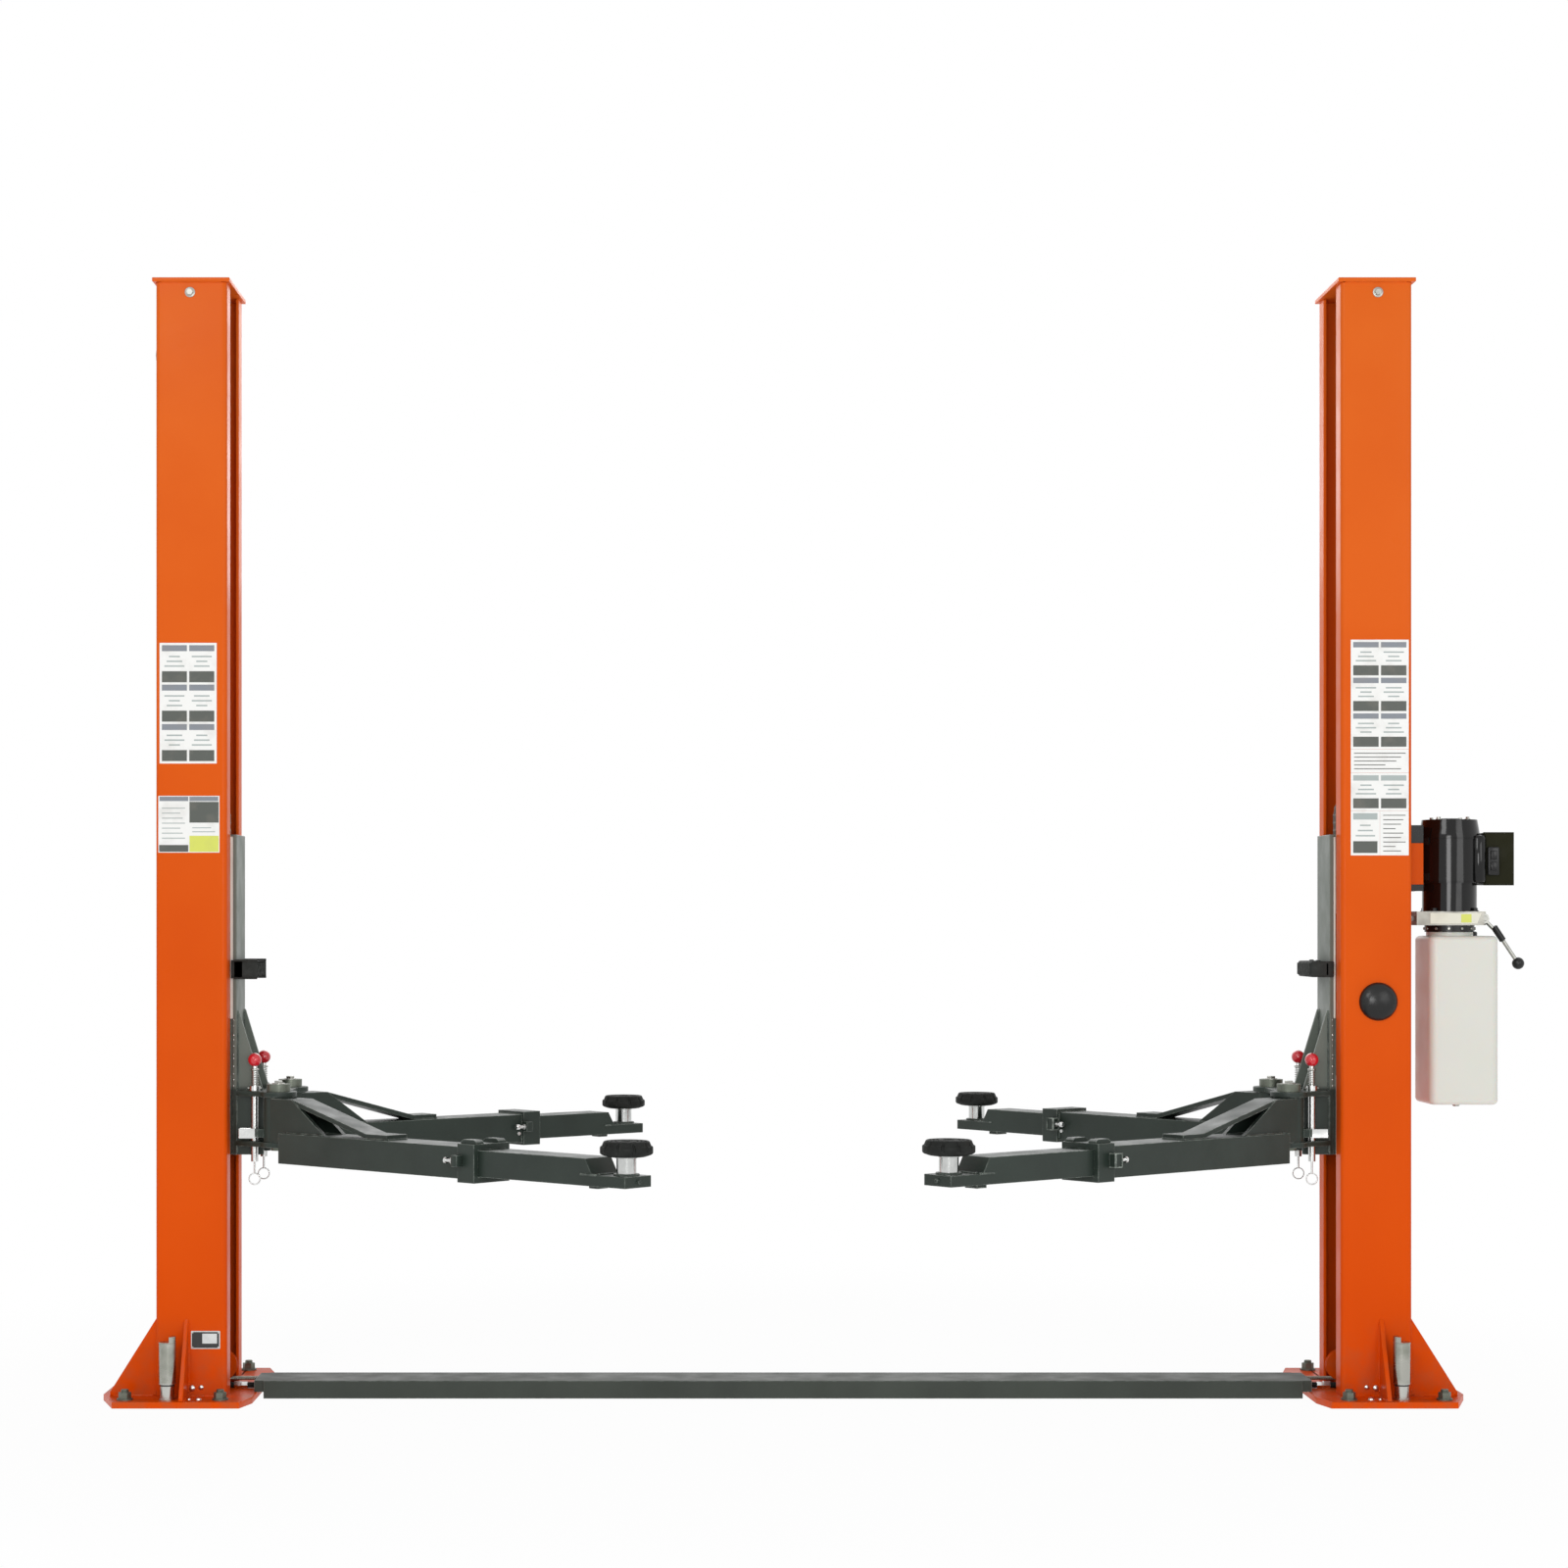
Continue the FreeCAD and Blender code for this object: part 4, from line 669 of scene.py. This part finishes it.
def lay(piles, ink, box, level=0):
    """One flat printed field on a column's front, at its own level above the sheet."""
    x0, z0, x1, z1 = box
    front = front_face() - 0.00015 - level * 0.00045
    piles.setdefault(ink, Pile()).box((x0, front - SHEET_THICK, z0), (x1, front, z1))


def label_rows(piles, box, heads, columns=2):
    """A white sheet with rows of panels: a pale bar, short lines and a dark block below."""
    x0, z0, x1, z1 = box
    lay(piles, "white", box)
    gap = 0.006
    row_high = (z1 - z0 - gap) / len(heads)
    wide = (x1 - x0 - gap) / columns
    for row, head in enumerate(heads):
        top = z1 - gap - row * row_high
        low = top - row_high + gap
        for column in range(columns):
            left = x0 + gap + column * wide
            right = left + wide - gap
            bar = top - 0.15 * row_high
            block = low + 0.28 * row_high
            lay(piles, head, (left, bar, right, top), 1)
            lay(piles, "dark", (left, low, right, block), 1)
            for line in range(3):
                z = block + (0.22 + 0.24 * line) * (bar - block)
                inset = (0.10 + 0.09 * ((row + column + line) % 3)) * (right - left)
                lay(piles, "mist", (left + inset, z, right - inset, z + 0.0035), 1)


def plain_text_block(piles, box, lines):
    """Thin dark lines on a white sheet."""
    x0, z0, x1, z1 = box
    lay(piles, "white", box)
    step = (z1 - z0) / (lines + 1)
    for line in range(lines):
        z = z1 - (line + 1) * step
        short = (0.35 if line % 4 == 3 else 0.08 * (line % 3)) * (x1 - x0)
        lay(piles, "dark", (x0 + 0.008, z - 0.001, x1 - 0.008 - short, z + 0.001), 1)


def make_labels():
    """Plain panels of colour on the columns, with nothing written on them."""
    piles = {}
    rows = ("slate",) * 3
    label_rows(piles, (-1.563, 1.600, -1.420, 1.902), rows)
    lay(piles, "white", (-1.566, 1.377, -1.413, 1.519))
    panels = (("slate", (-1.563, 1.506, -1.491, 1.517)), ("slate", (-1.488, 1.506, -1.416, 1.517)),
              ("dark", (-1.488, 1.452, -1.415, 1.504)), ("yellow", (-1.488, 1.379, -1.415, 1.419)),
              ("dark", (-1.564, 1.379, -1.491, 1.396)))
    for ink, box in panels:
        lay(piles, ink, box, 1)
    for left, right, low, pitch, step, lines in ((-1.557, -1.499, 1.412, 0.0125, 0.006, 7),
                                                 (-1.481, -1.424, 1.428, 0.010, 0.010, 2)):
        for line in range(lines):
            z = low + line * pitch
            lay(piles, "mist", (left, z, right - step * (line % 3), z + LABEL_INK), 1)
    label_rows(piles, (1.419, 1.636, 1.564, 1.910), rows)
    plain_text_block(piles, (1.419, 1.577, 1.564, 1.6355), 5)
    label_rows(piles, (1.419, 1.482, 1.564, 1.5765), ("mist",))
    label_rows(piles, (1.419, 1.370, 1.4915, 1.4815), ("mist",), 1)
    plain_text_block(piles, (1.4920, 1.370, 1.564, 1.4815), 9)
    for ink, pile in piles.items():
        pile.finish(f"label_{ink}", "print_" + ink, "columns", "orange_paint")


def make_hose_fittings():
    """The hexagon unions at the hose's ends, where it meets the cylinders."""
    fittings = Pile()
    height = mid("hydraulic_hose").z
    for side in BOTH:
        fittings.lathe([(0.011, 0), (0.011, 0.016), (0.0085, 0.018), (0.0085, 0.032), (0.0072, 0.034)],
                       (side * 1.395, 0.0, height), (-side, 0, 0), 6)
    fittings.finish("hose_fittings", "bright_steel", slot="zinc")


# Lift chains


def chain_path(low_front, low_rear, axis_x, axle_z, radius, pitch):
    """Pin places along the chain, from end to end over the wheel, in (x, z)."""
    spots = []
    z = low_front
    while z < axle_z:
        spots.append((axis_x - radius, z))
        z += pitch
    turn = (z - axle_z) / radius
    while turn < pi:
        spots.append((axis_x - radius * cos(turn), axle_z + radius * sin(turn)))
        turn += pitch / radius
    z = axle_z - (turn - pi) * radius
    while z > low_rear:
        spots.append((axis_x + radius, z))
        z -= pitch
    return spots


def make_chain(hand):
    """A leaf chain: pins, and plates that link them by turns."""
    side = HANDS[hand]
    low, high = box_of(f"{hand}_lift_chain")
    centre_x = abs((low.x + high.x) / 2)
    radius = (high.x - low.x) / 2 - 0.005
    half = high.y - 0.0008
    axle_z = high.z - radius - 0.005
    ends, pitch = (1.170, 0.305), 0.0191
    pins = chain_path(*ends, centre_x, axle_z, radius, pitch)
    links = Pile(Matrix.Diagonal((side, 1, 1, 1)))
    plate, reach, room = 0.0026, 0.0047, 0.0034
    count = int(2 * half / room)
    for index, (x, z) in enumerate(pins):
        links.lathe([(0.0028, -half), (0.0028, half)], (x, 0, z), Y, 8)
        if index + 1 == len(pins):
            break
        ahead = Vector((pins[index + 1][0] - x, 0, pins[index + 1][1] - z))
        long = ahead.length
        waist = reach * 0.82, long * 0.5
        head = [(reach * cos(turn), long + reach * sin(turn)) for turn in (0.35, 1.57, 2.79)]
        foot = [(reach * cos(turn), reach * sin(turn)) for turn in (3.49, 4.71, 5.93)]
        outline = head + [(-waist[0], waist[1])] + foot + [waist]
        for leaf in range(count):
            if leaf % 2 == index % 2:
                y = -half + 0.0004 + leaf * room
                links.slab(outline, (x, y, z), Y, plate, up=ahead.normalized())
    links.finish(f"{hand}_chain_links", "chain_steel", f"{hand}_piston_group",
                 replaces=[f"{hand}_lift_chain"])


# Carriages


def make_carriage_details(hand):
    """Welds, bright steel dots along a weld that are painted glints, guide strips, the door bumper and the pivot
    pins' bolts.
    """
    side = HANDS[hand]
    body = f"{hand}_carriage_group"
    mirror = Matrix.Diagonal((side, 1, 1, 1))
    random.seed(11)
    face, near = CARRIAGE_FACE, CARRIAGE_FACE - 0.004
    beads = Pile(mirror)
    for end in BOTH:
        for y in (0.052, 0.062):
            beads.bead((face, end * y, SHELF_TOP + 0.004), (face, end * y, SHELF_TOP + 0.196), 0.0035)
            beads.bead((face - 0.060, end * y, SHELF_TOP), (near, end * y, SHELF_TOP), 0.0035)
        for y in (0.060, 0.070):
            beads.bead((face - 0.064, end * y, SHELF_LOW), (near, end * y, SHELF_LOW), 0.0035)
            beads.bead((face, end * y, 0.620), (face, end * y, 0.762), 0.003)
    for z in (SHELF_TOP, 0.652, 0.765, SHELF_LOW):
        beads.bead((face, -0.050, z), (face, 0.050, z), 0.0035)
    beads.finish(f"{hand}_carriage_welds", "dark_paint", body)
    strips, spots = Pile(mirror), Pile(mirror)
    for end in BOTH:
        strips.box((1.3892, end * 0.0684, 0.960), (1.3944, end * 0.0736, 1.418), 0.0008, 1)
        # Bright steel dots along the weld: painted glints.
        for index in range(11):
            z = SHELF_TOP + 0.012 + 0.0165 * index + random.uniform(-0.004, 0.004)
            size = random.uniform(0.0010, 0.0020)
            spots.lathe([(size, -0.0004), (size * 0.8, size * 0.5), (0, size * 0.8)],
                        (SPOTS_X, end * CARRIAGE_EDGE, z), (0, end, 0), 10)
    strips.finish(f"{hand}_guide_strips", "slide_plastic", body)
    spots.finish(f"{hand}_weld_glints", "bright_steel", body, "zinc")
    make_bumper(hand, mirror, body)
    make_pin_heads(hand, mirror, body)


def make_bumper(hand, mirror, body):
    """A rubber block wrapped round the carriage face, with a ribbed front and two sunk screws."""
    low, high = box_of(f"{hand}_door_bumper")
    near, far = sorted((abs(low.x), abs(high.x)))
    face = CARRIAGE_FACE
    block = Pile(mirror)
    block.box((near + 0.004, low.y, low.z), (face, high.y, high.z), 0.005, 3)
    for end in BOTH:
        block.box((face - 0.012, end * CARRIAGE_EDGE, low.z), (far, end * high.y, high.z), 0.003)
    ribs, margin, groove = 15, 0.005, 0.0012
    step = (high.y - low.y - 2 * margin) / ribs
    for rib in range(ribs):
        y = low.y + margin + rib * step
        block.box((near, y + groove, low.z + margin),
                  (near + 0.012, y + step - groove, high.z - margin), 0.0016)
    block.finish(f"{hand}_bumper_block", "bumper_rubber", body, replaces=[f"{hand}_door_bumper"])
    screws = Pile(mirror)
    for y in (-0.040, 0.040):
        screws.screw(((near + face) / 2 + 0.004, y, high.z), Z, 0.006, 0.003)
    screws.finish(f"{hand}_bumper_screws", "lever_metal", body, "zinc")


def make_pin_heads(hand, mirror, body):
    """The low bolt in the middle of each arm pivot pin."""
    bolts = Pile(mirror)
    top = box_of(f"{hand}_pivot_pins")[1].z
    for end in BOTH:
        bolts.bolt((PIVOT_X, end * PIVOT_Y, top), Z, 0.020, 0.006, spin=0.4)
    bolts.finish(f"{hand}_pin_bolts", "zinc", body)


# Arms


def make_arm_details(arm):
    """Welds of the arm's tube, gusset and collar, and the parts that ride with them."""
    matrix = arm_matrix(arm)
    group = f"{arm}_arm_group"
    random.seed(len(arm) * 13 + ord(arm[-1]))
    top, beads = ARM_TOP, Pile(matrix)
    for y in (-0.033, 0.033):
        beads.bead((0.362, y, top), (0.440, y, top), 0.0042)
    beads.bead((0.440, -0.033, top), (0.440, 0.033, top), 0.0042)
    for y in (-0.036, -0.026, 0.026, 0.036):
        beads.bead((0.075, y, top), (0.213, y, top), 0.0036)
    for y in (-ARM_HALF, ARM_HALF):
        beads.bead((COLLAR[0], y, 0.606), (COLLAR[0], y, 0.675), 0.0036)
    beads.bead((COLLAR[0], -0.048, top), (COLLAR[0], 0.048, top), 0.0036)
    beads.finish(f"{arm}_arm_welds", "dark_paint", group)
    make_collar_details(arm, matrix, group)
    make_gear_teeth(arm, matrix, group)
    make_extension_details(arm, matrix)


def make_collar_details(arm, matrix, group):
    """Two rounded lugs on top of the collar, its side rib, and the stop bolt along the arm."""
    lugs, bolts = Pile(matrix), Pile(matrix)
    start, stop = COLLAR
    low, high, wide = 0.632, 0.660, 0.020
    front_arm = arm.startswith("front")
    outline = [(-0.027, 0), (0.027, 0), (0.025, 0.006), (0.018, 0.0105), (-0.018, 0.0105), (-0.025, 0.006)]
    for end in BOTH if front_arm else ():
        lugs.slab(outline, ((start + stop) / 2, end * 0.036 - 0.012, COLLAR_TOP - 0.0005), Y, 0.024, up=Z)
    side = HANDS[arm.split("_")[1]]
    y = side * 0.0575
    lugs.box((start - 0.004, y, low), (start + 0.018, y + side * wide, high), 0.003)
    lugs.finish(f"{arm}_collar_lugs", "dark_paint", group)
    spot = Vector((start - 0.004, y + side * wide / 2, (low + high) / 2))
    head = [(0.0075, 0.020), (0.0075, 0.027), (0.0055, 0.029), (0, 0.029)]
    bolts.lathe([(0.0042, 0), (0.0042, 0.020)] + head, spot, -X, 20)
    bolts.lathe([(0.0078, 0), (0.0078, 0.006), (0.0042, 0.007)], spot, -X, 6)
    if not front_arm:
        bolts.bolt((start - 0.012, side * ARM_HALF, 0.627), (0, side, 0), 0.010, 0.005, washer=False)
    bolts.finish(f"{arm}_collar_bolts", "bright_steel", group, "zinc")


def make_gear_teeth(arm, matrix, group):
    """Teeth round the restraint's toothed sector."""
    teeth = Pile(matrix)
    count, span, radius = 15, radians(122), 0.0535
    for tooth in range(count):
        out = polar(pi - span / 2 + span * tooth / (count - 1))
        teeth.slab([(-0.0034, 0), (0.0034, 0), (0.0012, 0.0042), (-0.0012, 0.0042)],
                   out * radius + Vector((0, 0, 0.6642)), Z, 0.0196, up=out)
    teeth.finish(f"{arm}_gear_teeth", "dark_paint", group)


def make_extension_details(arm, matrix):
    """Weld under the slanted end, the stop lug below and the nose of the end plate."""
    group = f"{arm}_extension_group"
    pad_x = (matrix.inverted() @ mid(f"{arm}_pad")).x
    local = matrix @ Matrix.Translation((pad_x, 0, 0))
    beads, lugs, ring = Pile(local), Pile(local), Pile(local)
    foot, top = -0.0515, TUBE_TOP
    for y in (-0.043, 0.043):
        beads.bead((-0.104, y, top), (foot, y, top), 0.003)
    beads.bead((foot, -0.040, top + 0.0005), (foot, 0.040, top + 0.0005), 0.004)
    beads.finish(f"{arm}_extension_welds", "dark_paint", group)
    lugs.box((-0.101, -0.018, 0.6015), (-0.072, 0.018, 0.6117), 0.002)
    lugs.lathe([(0.0055, 0), (0.0055, 0.004), (0.004, 0.006), (0, 0.006)], (0.0358, 0, 0.6225), X, 18)
    lugs.finish(f"{arm}_stop_lug", "dark_paint", group)
    ring.lathe([(0.0300, -0.0001), (0.0300, 0.0030), (0.0285, 0.0045), (0.0228, 0.0045)], (0, 0, top), Z, 48)
    ring.finish(f"{arm}_post_seat", "dark_paint", group)


def make_pad(arm):
    """A rubber pad with notched shoulders, a narrower bevelled top and ring grooves."""
    low, high = box_of(f"{arm}_pad")
    axis = Matrix.Translation((low + high) / 2 * Vector((1, 1, 0)))
    pad, tall = Pile(axis), high.z - low.z
    rim, notches, notch_rows = 0.060, 10, (6, 7, 8, 9)

    def shoulders(angle, index):
        notched = index in notch_rows and cos(notches * angle) > 0.72
        return -0.0045 if notched else 0.0

    profile = [(0.0, 0.0), (0.040, 0.0), (0.0440, 0.0006), (0.0555, 0.0045), (rim - 0.0015, 0.0065),
               (rim, 0.0090), (rim, tall - 0.0150), (rim - 0.0010, tall - 0.0130), (0.0575, tall - 0.0120),
               (0.0560, tall - 0.0115), (0.0520, tall - 0.0020), (0.0495, tall - 0.0004)]
    for groove in (0.0430, 0.0340, 0.0250):
        profile += [(groove + 0.0032, tall - 0.0004), (groove + 0.0020, tall - 0.0030),
                    (groove - 0.0006, tall - 0.0030), (groove - 0.0018, tall - 0.0004)]
    profile += [(0.0135, tall - 0.0004), (0.0105, tall - 0.0050), (0.0, tall - 0.0050)]
    pad.lathe(profile, (0, 0, low.z), Z, 240, wave=shoulders)
    pad.finish(f"{arm}_rubber_pad", "pad_rubber", f"{arm}_pad_group", replaces=[f"{arm}_pad"], angle=32)
    post = Pile(axis)
    post.lathe([(0.010, 0.0), (0.010, 0.0022), (0.0055, 0.0022), (0.0045, 0.0006), (0, 0.0006)],
               (0, 0, high.z - 0.0052), Z, 6)
    post.lathe([(0.0225, -0.0035), (0.0252, -0.0025), (0.0252, -0.0002)], (0, 0, low.z), Z, 48)
    post.finish(f"{arm}_post_rings", "chrome", f"{arm}_pad_group")


def make_lock_details(arm):
    """The spring and cross pin on the lock pin, and its toothed block beside the gear."""
    centre = mid(f"{arm}_lock_knob")
    group = f"{arm}_lock_group"
    low, high, pin = 0.7905, 0.8300, 0.7845
    coil = Pile(Matrix.Translation((centre.x, centre.y, 0)))
    turns, steps, radius = 7, 14, 0.0082
    rise = (high - low) / (turns * steps)
    coil.pipe([polar(2 * pi * step / steps, radius, low + rise * step)
               for step in range(turns * steps + 1)], 0.0012, 6, 1)
    coil.lathe([(0.0105, 0), (0.0105, 0.003), (0.0062, 0.0045)], (0, 0, high), Z, 24)
    coil.lathe([(0.0025, -0.017), (0.0025, 0.017)], (0, 0, pin), X, 10)
    coil.finish(f"{arm}_lock_spring", "zinc", group)
    hand, end = HANDS[arm.split("_")[1]], ENDS[arm.split("_")[0]]
    block = Pile(Matrix.Diagonal((hand, end, 1, 1)))
    near, foot = 1.3300, 0.660
    block.box((near, 0.0765, foot), (1.3700, 0.0970, 0.682), 0.0012)
    outline = [(-0.0014, 0), (0.0014, 0), (0.0006, 0.0035), (-0.0006, 0.0035)]
    for tooth in range(5):
        y = 0.0790 + tooth * 0.0042
        block.slab(outline, (near + 0.0002, y, foot + 0.0005), Z, 0.021, up=-X)
    block.finish(f"{arm}_lock_block", "bright_steel", group, "zinc")


# Power unit


def make_motor_details():
    """Seams and cap bolts of the motor, and its upright capacitor housing."""
    low, high = box_of("motor")
    x = mid("motor").x
    radius, top = high.x - x, high.z
    axis = Matrix.Translation((x, 0, 0))
    dark, steel = Pile(axis), Pile(axis)
    waist, shoulder = low.z + 0.072, low.z + 0.188
    for height, grow in ((waist + 0.003, 0.0008), (shoulder - 0.003, 0.0014)):
        dark.lathe([(radius - 0.001, -0.0018), (radius + grow, -0.0010), (radius + grow, 0.0010),
                    (radius - 0.001, 0.0018)], (0, 0, height), Z, 128)
    dark.lathe([(0.030, -0.0004), (0.030, 0.0022), (0.027, 0.0035), (0, 0.0035)], (0, 0, top), Z, 48)
    dark.lathe([(0.0, waist + 0.002), (0.0150, waist + 0.002), (0.0185, waist + 0.008),
                (0.0185, shoulder - 0.004), (0.0140, shoulder + 0.004), (0.0, shoulder + 0.006)],
               (radius * 0.80, -radius * 0.62, 0), Z, 40)
    dark.finish("motor_seams", "motor_paint")
    for quarter in range(4):
        turn = (quarter + 0.5) * pi / 2
        steel.bolt(polar(turn, 0.052, top), Z, 0.009, 0.005, spin=turn)
    steel.finish("motor_bolts", "zinc")


def make_pump_details():
    """The sheet on the pump block's front, its bolts and union, and the flange's small bolts."""
    low, high = box_of("pump_block")
    front, top = low.y, high.z
    axis = mid("motor").x
    steel, dark, sheet = Pile(), Pile(), Pile()
    steel.lathe([(0.0065, 0), (0.0065, 0.010), (0.009, 0.010), (0.009, 0.024), (0.006, 0.026)],
                (low.x + 0.0005, -0.030, (low.z + top) / 2), -X, 6)
    for x in (-0.052, 0.052):
        for y in (-0.050, 0.050):
            dark.bolt((axis + x, y, top), Z, 0.013, 0.007)
    centre = mid("pump_flange")
    radius = box_of("pump_flange")[1].x - centre.x
    for turn in range(12):
        out = polar(2 * pi * (turn + 0.5) / 12)
        steel.screw(centre + out * radius, out, 0.0035, 0.003)
    steel.finish("pump_fittings", "zinc")
    dark.finish("pump_bolts", "black_plastic")
    z0, z1 = low.z + 0.004, top - 0.004
    outline = [(0.034, 0), (0.152, 0), (0.164, z1 - z0), (0.034, z1 - z0)]
    sheet.slab(outline, (low.x, front + 0.0002, z0), -Y, 0.0012, up=Z)
    sheet.finish("pump_sheet", "print_cream", slot="cast_aluminium")
    mark = Pile(Matrix.Translation((low.x, front, 0)))
    mark.box((0.112, -0.0018, z0 + 0.003), (0.138, -0.0008, z1 - 0.003), 0.0002, 1)
    mark.finish("pump_mark", "print_yellow", slot="cast_aluminium")


def make_pressure_hose():
    """The short hose from the pump's union into the back of the column."""
    near = box_of("pump_block")[0].x
    outer = box_of("right_column")[1].x
    hose = Pile(Matrix.Translation((0, -0.030, mid("pump_block").z)))
    hose.pipe([(near - 0.024, 0, 0), (near - 0.033, 0, 0), (near - 0.040, 0, -0.010),
               (outer + 0.006, 0, -0.024), (outer - 0.004, 0, -0.028)], 0.0065, 14, 6)
    hose.finish("pressure_hose", "hose_rubber")


def make_tank_details():
    """A breather and a drain plug on the tank."""
    low, high = box_of("oil_tank")
    shoulder = high.z - 0.010
    black, steel = Pile(), Pile()
    black.lathe([(0.015, 0), (0.015, 0.008), (0.013, 0.011), (0, 0.012)],
                (high.x - 0.036, 0.050, shoulder - 0.0005), Z, 30)
    black.finish("tank_breather", "black_plastic")
    steel.lathe([(0.009, 0), (0.009, 0.006), (0.0075, 0.008), (0, 0.008)],
                ((low.x + high.x) / 2, 0, low.z), -Z, 6)
    steel.finish("tank_drain", "zinc")


def make_control_box_details():
    """The lid's seam and the upright push button block on its left part."""
    low, high = box_of("control_box")
    lid, button = Pile(), Pile()
    front = low.y
    for grow, near, far, *bevel in ((-0.002, -0.0035, 0.002, 0.0025, 3), (0.001, 0.004, 0.007, 0.001, 2)):
        near, far = front + near, front + far
        lid.box((low.x - grow, near, low.z - grow), (high.x + grow, far, high.z + grow), *bevel)
    lid.finish("control_box_lid", "box_plastic")
    left, wide, middle = low.x + 0.006, 0.030, (low.z + high.z) / 2
    button.box((left, front - 0.014, middle - 0.042), (left + wide, front - 0.002, middle + 0.030), 0.004, 3)
    inset, key = 0.007, 0.022
    for z in (middle - 0.030, middle - 0.002):
        button.box((left + inset, front - 0.019, z), (left + wide - inset, front - 0.012, z + key), 0.002)
    button.finish("push_button", "black_plastic")


def make_lever_details():
    """The black ball and knee sleeve of the release lever, and its pivot bolt."""
    low, high = box_of("release_lever")
    pivot = Vector(JOINTS["lever_press"]["pos_m"])
    arm_run, ball_inset = 0.040, 0.015
    knee = pivot + Vector((arm_run, 0, -arm_run))
    ball = Vector((high.x - ball_inset, 0, low.z + ball_inset))
    down = (ball - knee).normalized()
    grip = Pile()
    grip.lathe([(0.0053, -0.024), (0.0085, -0.022), (0.0085, 0.018), (0.0053, 0.020)], knee, down, 24)
    steps = 20
    radius = 0.0154
    round_ball = [(radius * sin(pi * step / steps), -radius * cos(pi * step / steps))
                  for step in range(1, steps)]
    grip.lathe([(0, -radius)] + round_ball + [(0, radius)], ball, down, 40)
    grip.finish("lever_grip", "black_plastic", "lever", "lever_metal")
    nut = Pile()
    nut.bolt(pivot + Vector((0, -0.0112, 0)), -Y, 0.013, 0.006, washer=False)
    nut.finish("lever_bolt", "zinc")


def make_bracket_details():
    """Clamp plates over the bracket's two ends, and the clamp bands round the motor."""
    low, high = box_of("motor_bracket")
    band = Pile(Matrix.Translation((mid("motor").x, 0, 0)))
    ends, thin = Pile(), 0.002
    for z0, z1 in ((low.z - 0.0005, low.z + 0.016), (high.z - 0.045, high.z + 0.0005)):
        for end in BOTH:
            near, far = end * (high.y - thin), end * (high.y + thin)
            ends.box((low.x + 0.0005, near, z0), (high.x, far, z1), 0.0008, 1)
    ends.finish("bracket_ends", "black_plastic")
    radius, thick, half_high, half_turn, steps = 0.0775, 0.0014, 0.009, 0.62, 14
    angles = [pi + half_turn * (2 * step / steps - 1) for step in range(steps + 1)]
    outline = [polar(angle, radius).xy for angle in angles]
    outline += [polar(angle, radius + thick).xy for angle in reversed(angles)]
    for z in (low.z + 0.036, high.z - 0.040):
        band.slab(outline, (0, 0, z - half_high), Z, 2 * half_high, up=Y)
    band.finish("bracket_band", "black_plastic")


# Stage


def make_stage():
    """A pale floor, soft studio light and the photograph's camera."""
    bpy.ops.mesh.primitive_plane_add(size=FLOOR_SIZE, location=(0, 0, 0))
    floor = bpy.context.object
    floor.name = "studio_floor"
    floor.data.materials.append(stage_material())
    bpy.context.scene.world = studio_world()
    for name, energy, size, place in LAMPS:
        data = bpy.data.lights.new(name, "AREA")
        data.energy = energy
        data.size = size
        lamp = add_object(name, data, place)
        lamp.rotation_euler = (LAMPS_AIM - Vector(place)).to_track_quat("-Z", "Y").to_euler()
    make_camera()


def studio_world():
    """Full white to the camera and in what shines, and dimmer as light."""
    world = bpy.data.worlds.new("studio")
    world.use_nodes = True
    tree = world.node_tree
    sky = tree.nodes["Background"]
    sky.inputs["Color"].default_value = STAGE_WHITE
    sky.inputs["Strength"].default_value = WORLD_LEVEL
    seen = add_node(tree, "ShaderNodeBackground", {"Color": STAGE_WHITE, "Strength": 1.0})
    rays = add_node(tree, "ShaderNodeLightPath").node.outputs
    either = {0: rays["Is Camera Ray"], 1: rays["Is Glossy Ray"]}
    either = add_node(tree, "ShaderNodeMath", either, operation="MAXIMUM")
    mix = add_node(tree, "ShaderNodeMixShader", {0: either, 1: sky.outputs[0], 2: seen})
    tree.links.new(mix, tree.nodes["World Output"].inputs["Surface"])
    return world


def stage_material():
    """A pale floor that takes a soft shadow and turns pure white farther out."""
    s = Surface("studio_floor", (FLOOR_GREY,) * 3, 0.9, Specular_IOR_Level=0.1)
    reach = s.node("ShaderNodeVectorMath", {0: s.place}, "Value", operation="LENGTH")
    ramp = s.spread(reach, SHADOW_NEAR, SHADOW_FAR, SHADOW_LEAVES, 1.0)
    ramp.node.interpolation_type = "SMOOTHSTEP"
    glow = s.node("ShaderNodeEmission", {"Color": STAGE_WHITE})
    mix = s.node("ShaderNodeMixShader", {0: ramp, 1: s.shader.outputs[0], 2: glow})
    s.tree.links.new(mix, s.tree.nodes["Material Output"].inputs["Surface"])
    return s.material


def make_camera():
    """Level, looking along +Y from 7.7 m in front of the lift."""
    data = bpy.data.cameras.new("camera")
    data.lens, data.shift_x, data.shift_y = 69.7, 0.065, 0.0863
    camera = add_object("camera", data, CAMERA_PLACE)
    camera.rotation_euler = (pi / 2, 0, 0)
    bpy.context.scene.camera = camera


bpy.context.scene.view_settings.view_transform = "Standard"
make_materials()
make_stage()
dress_nodes()
make_column_fasteners()
make_column_welds()
make_foot_spots()
make_anchor_threads()
make_adapter_details()
make_data_plate()
make_labels()
make_hose_fittings()
for hand in HANDS:
    make_chain(hand)
    make_carriage_details(hand)
for arm in ARMS:
    make_arm_details(arm)
    make_pad(arm)
    make_lock_details(arm)
make_motor_details()
make_pump_details()
make_pressure_hose()
make_tank_details()
make_control_box_details()
make_lever_details()
make_bracket_details()
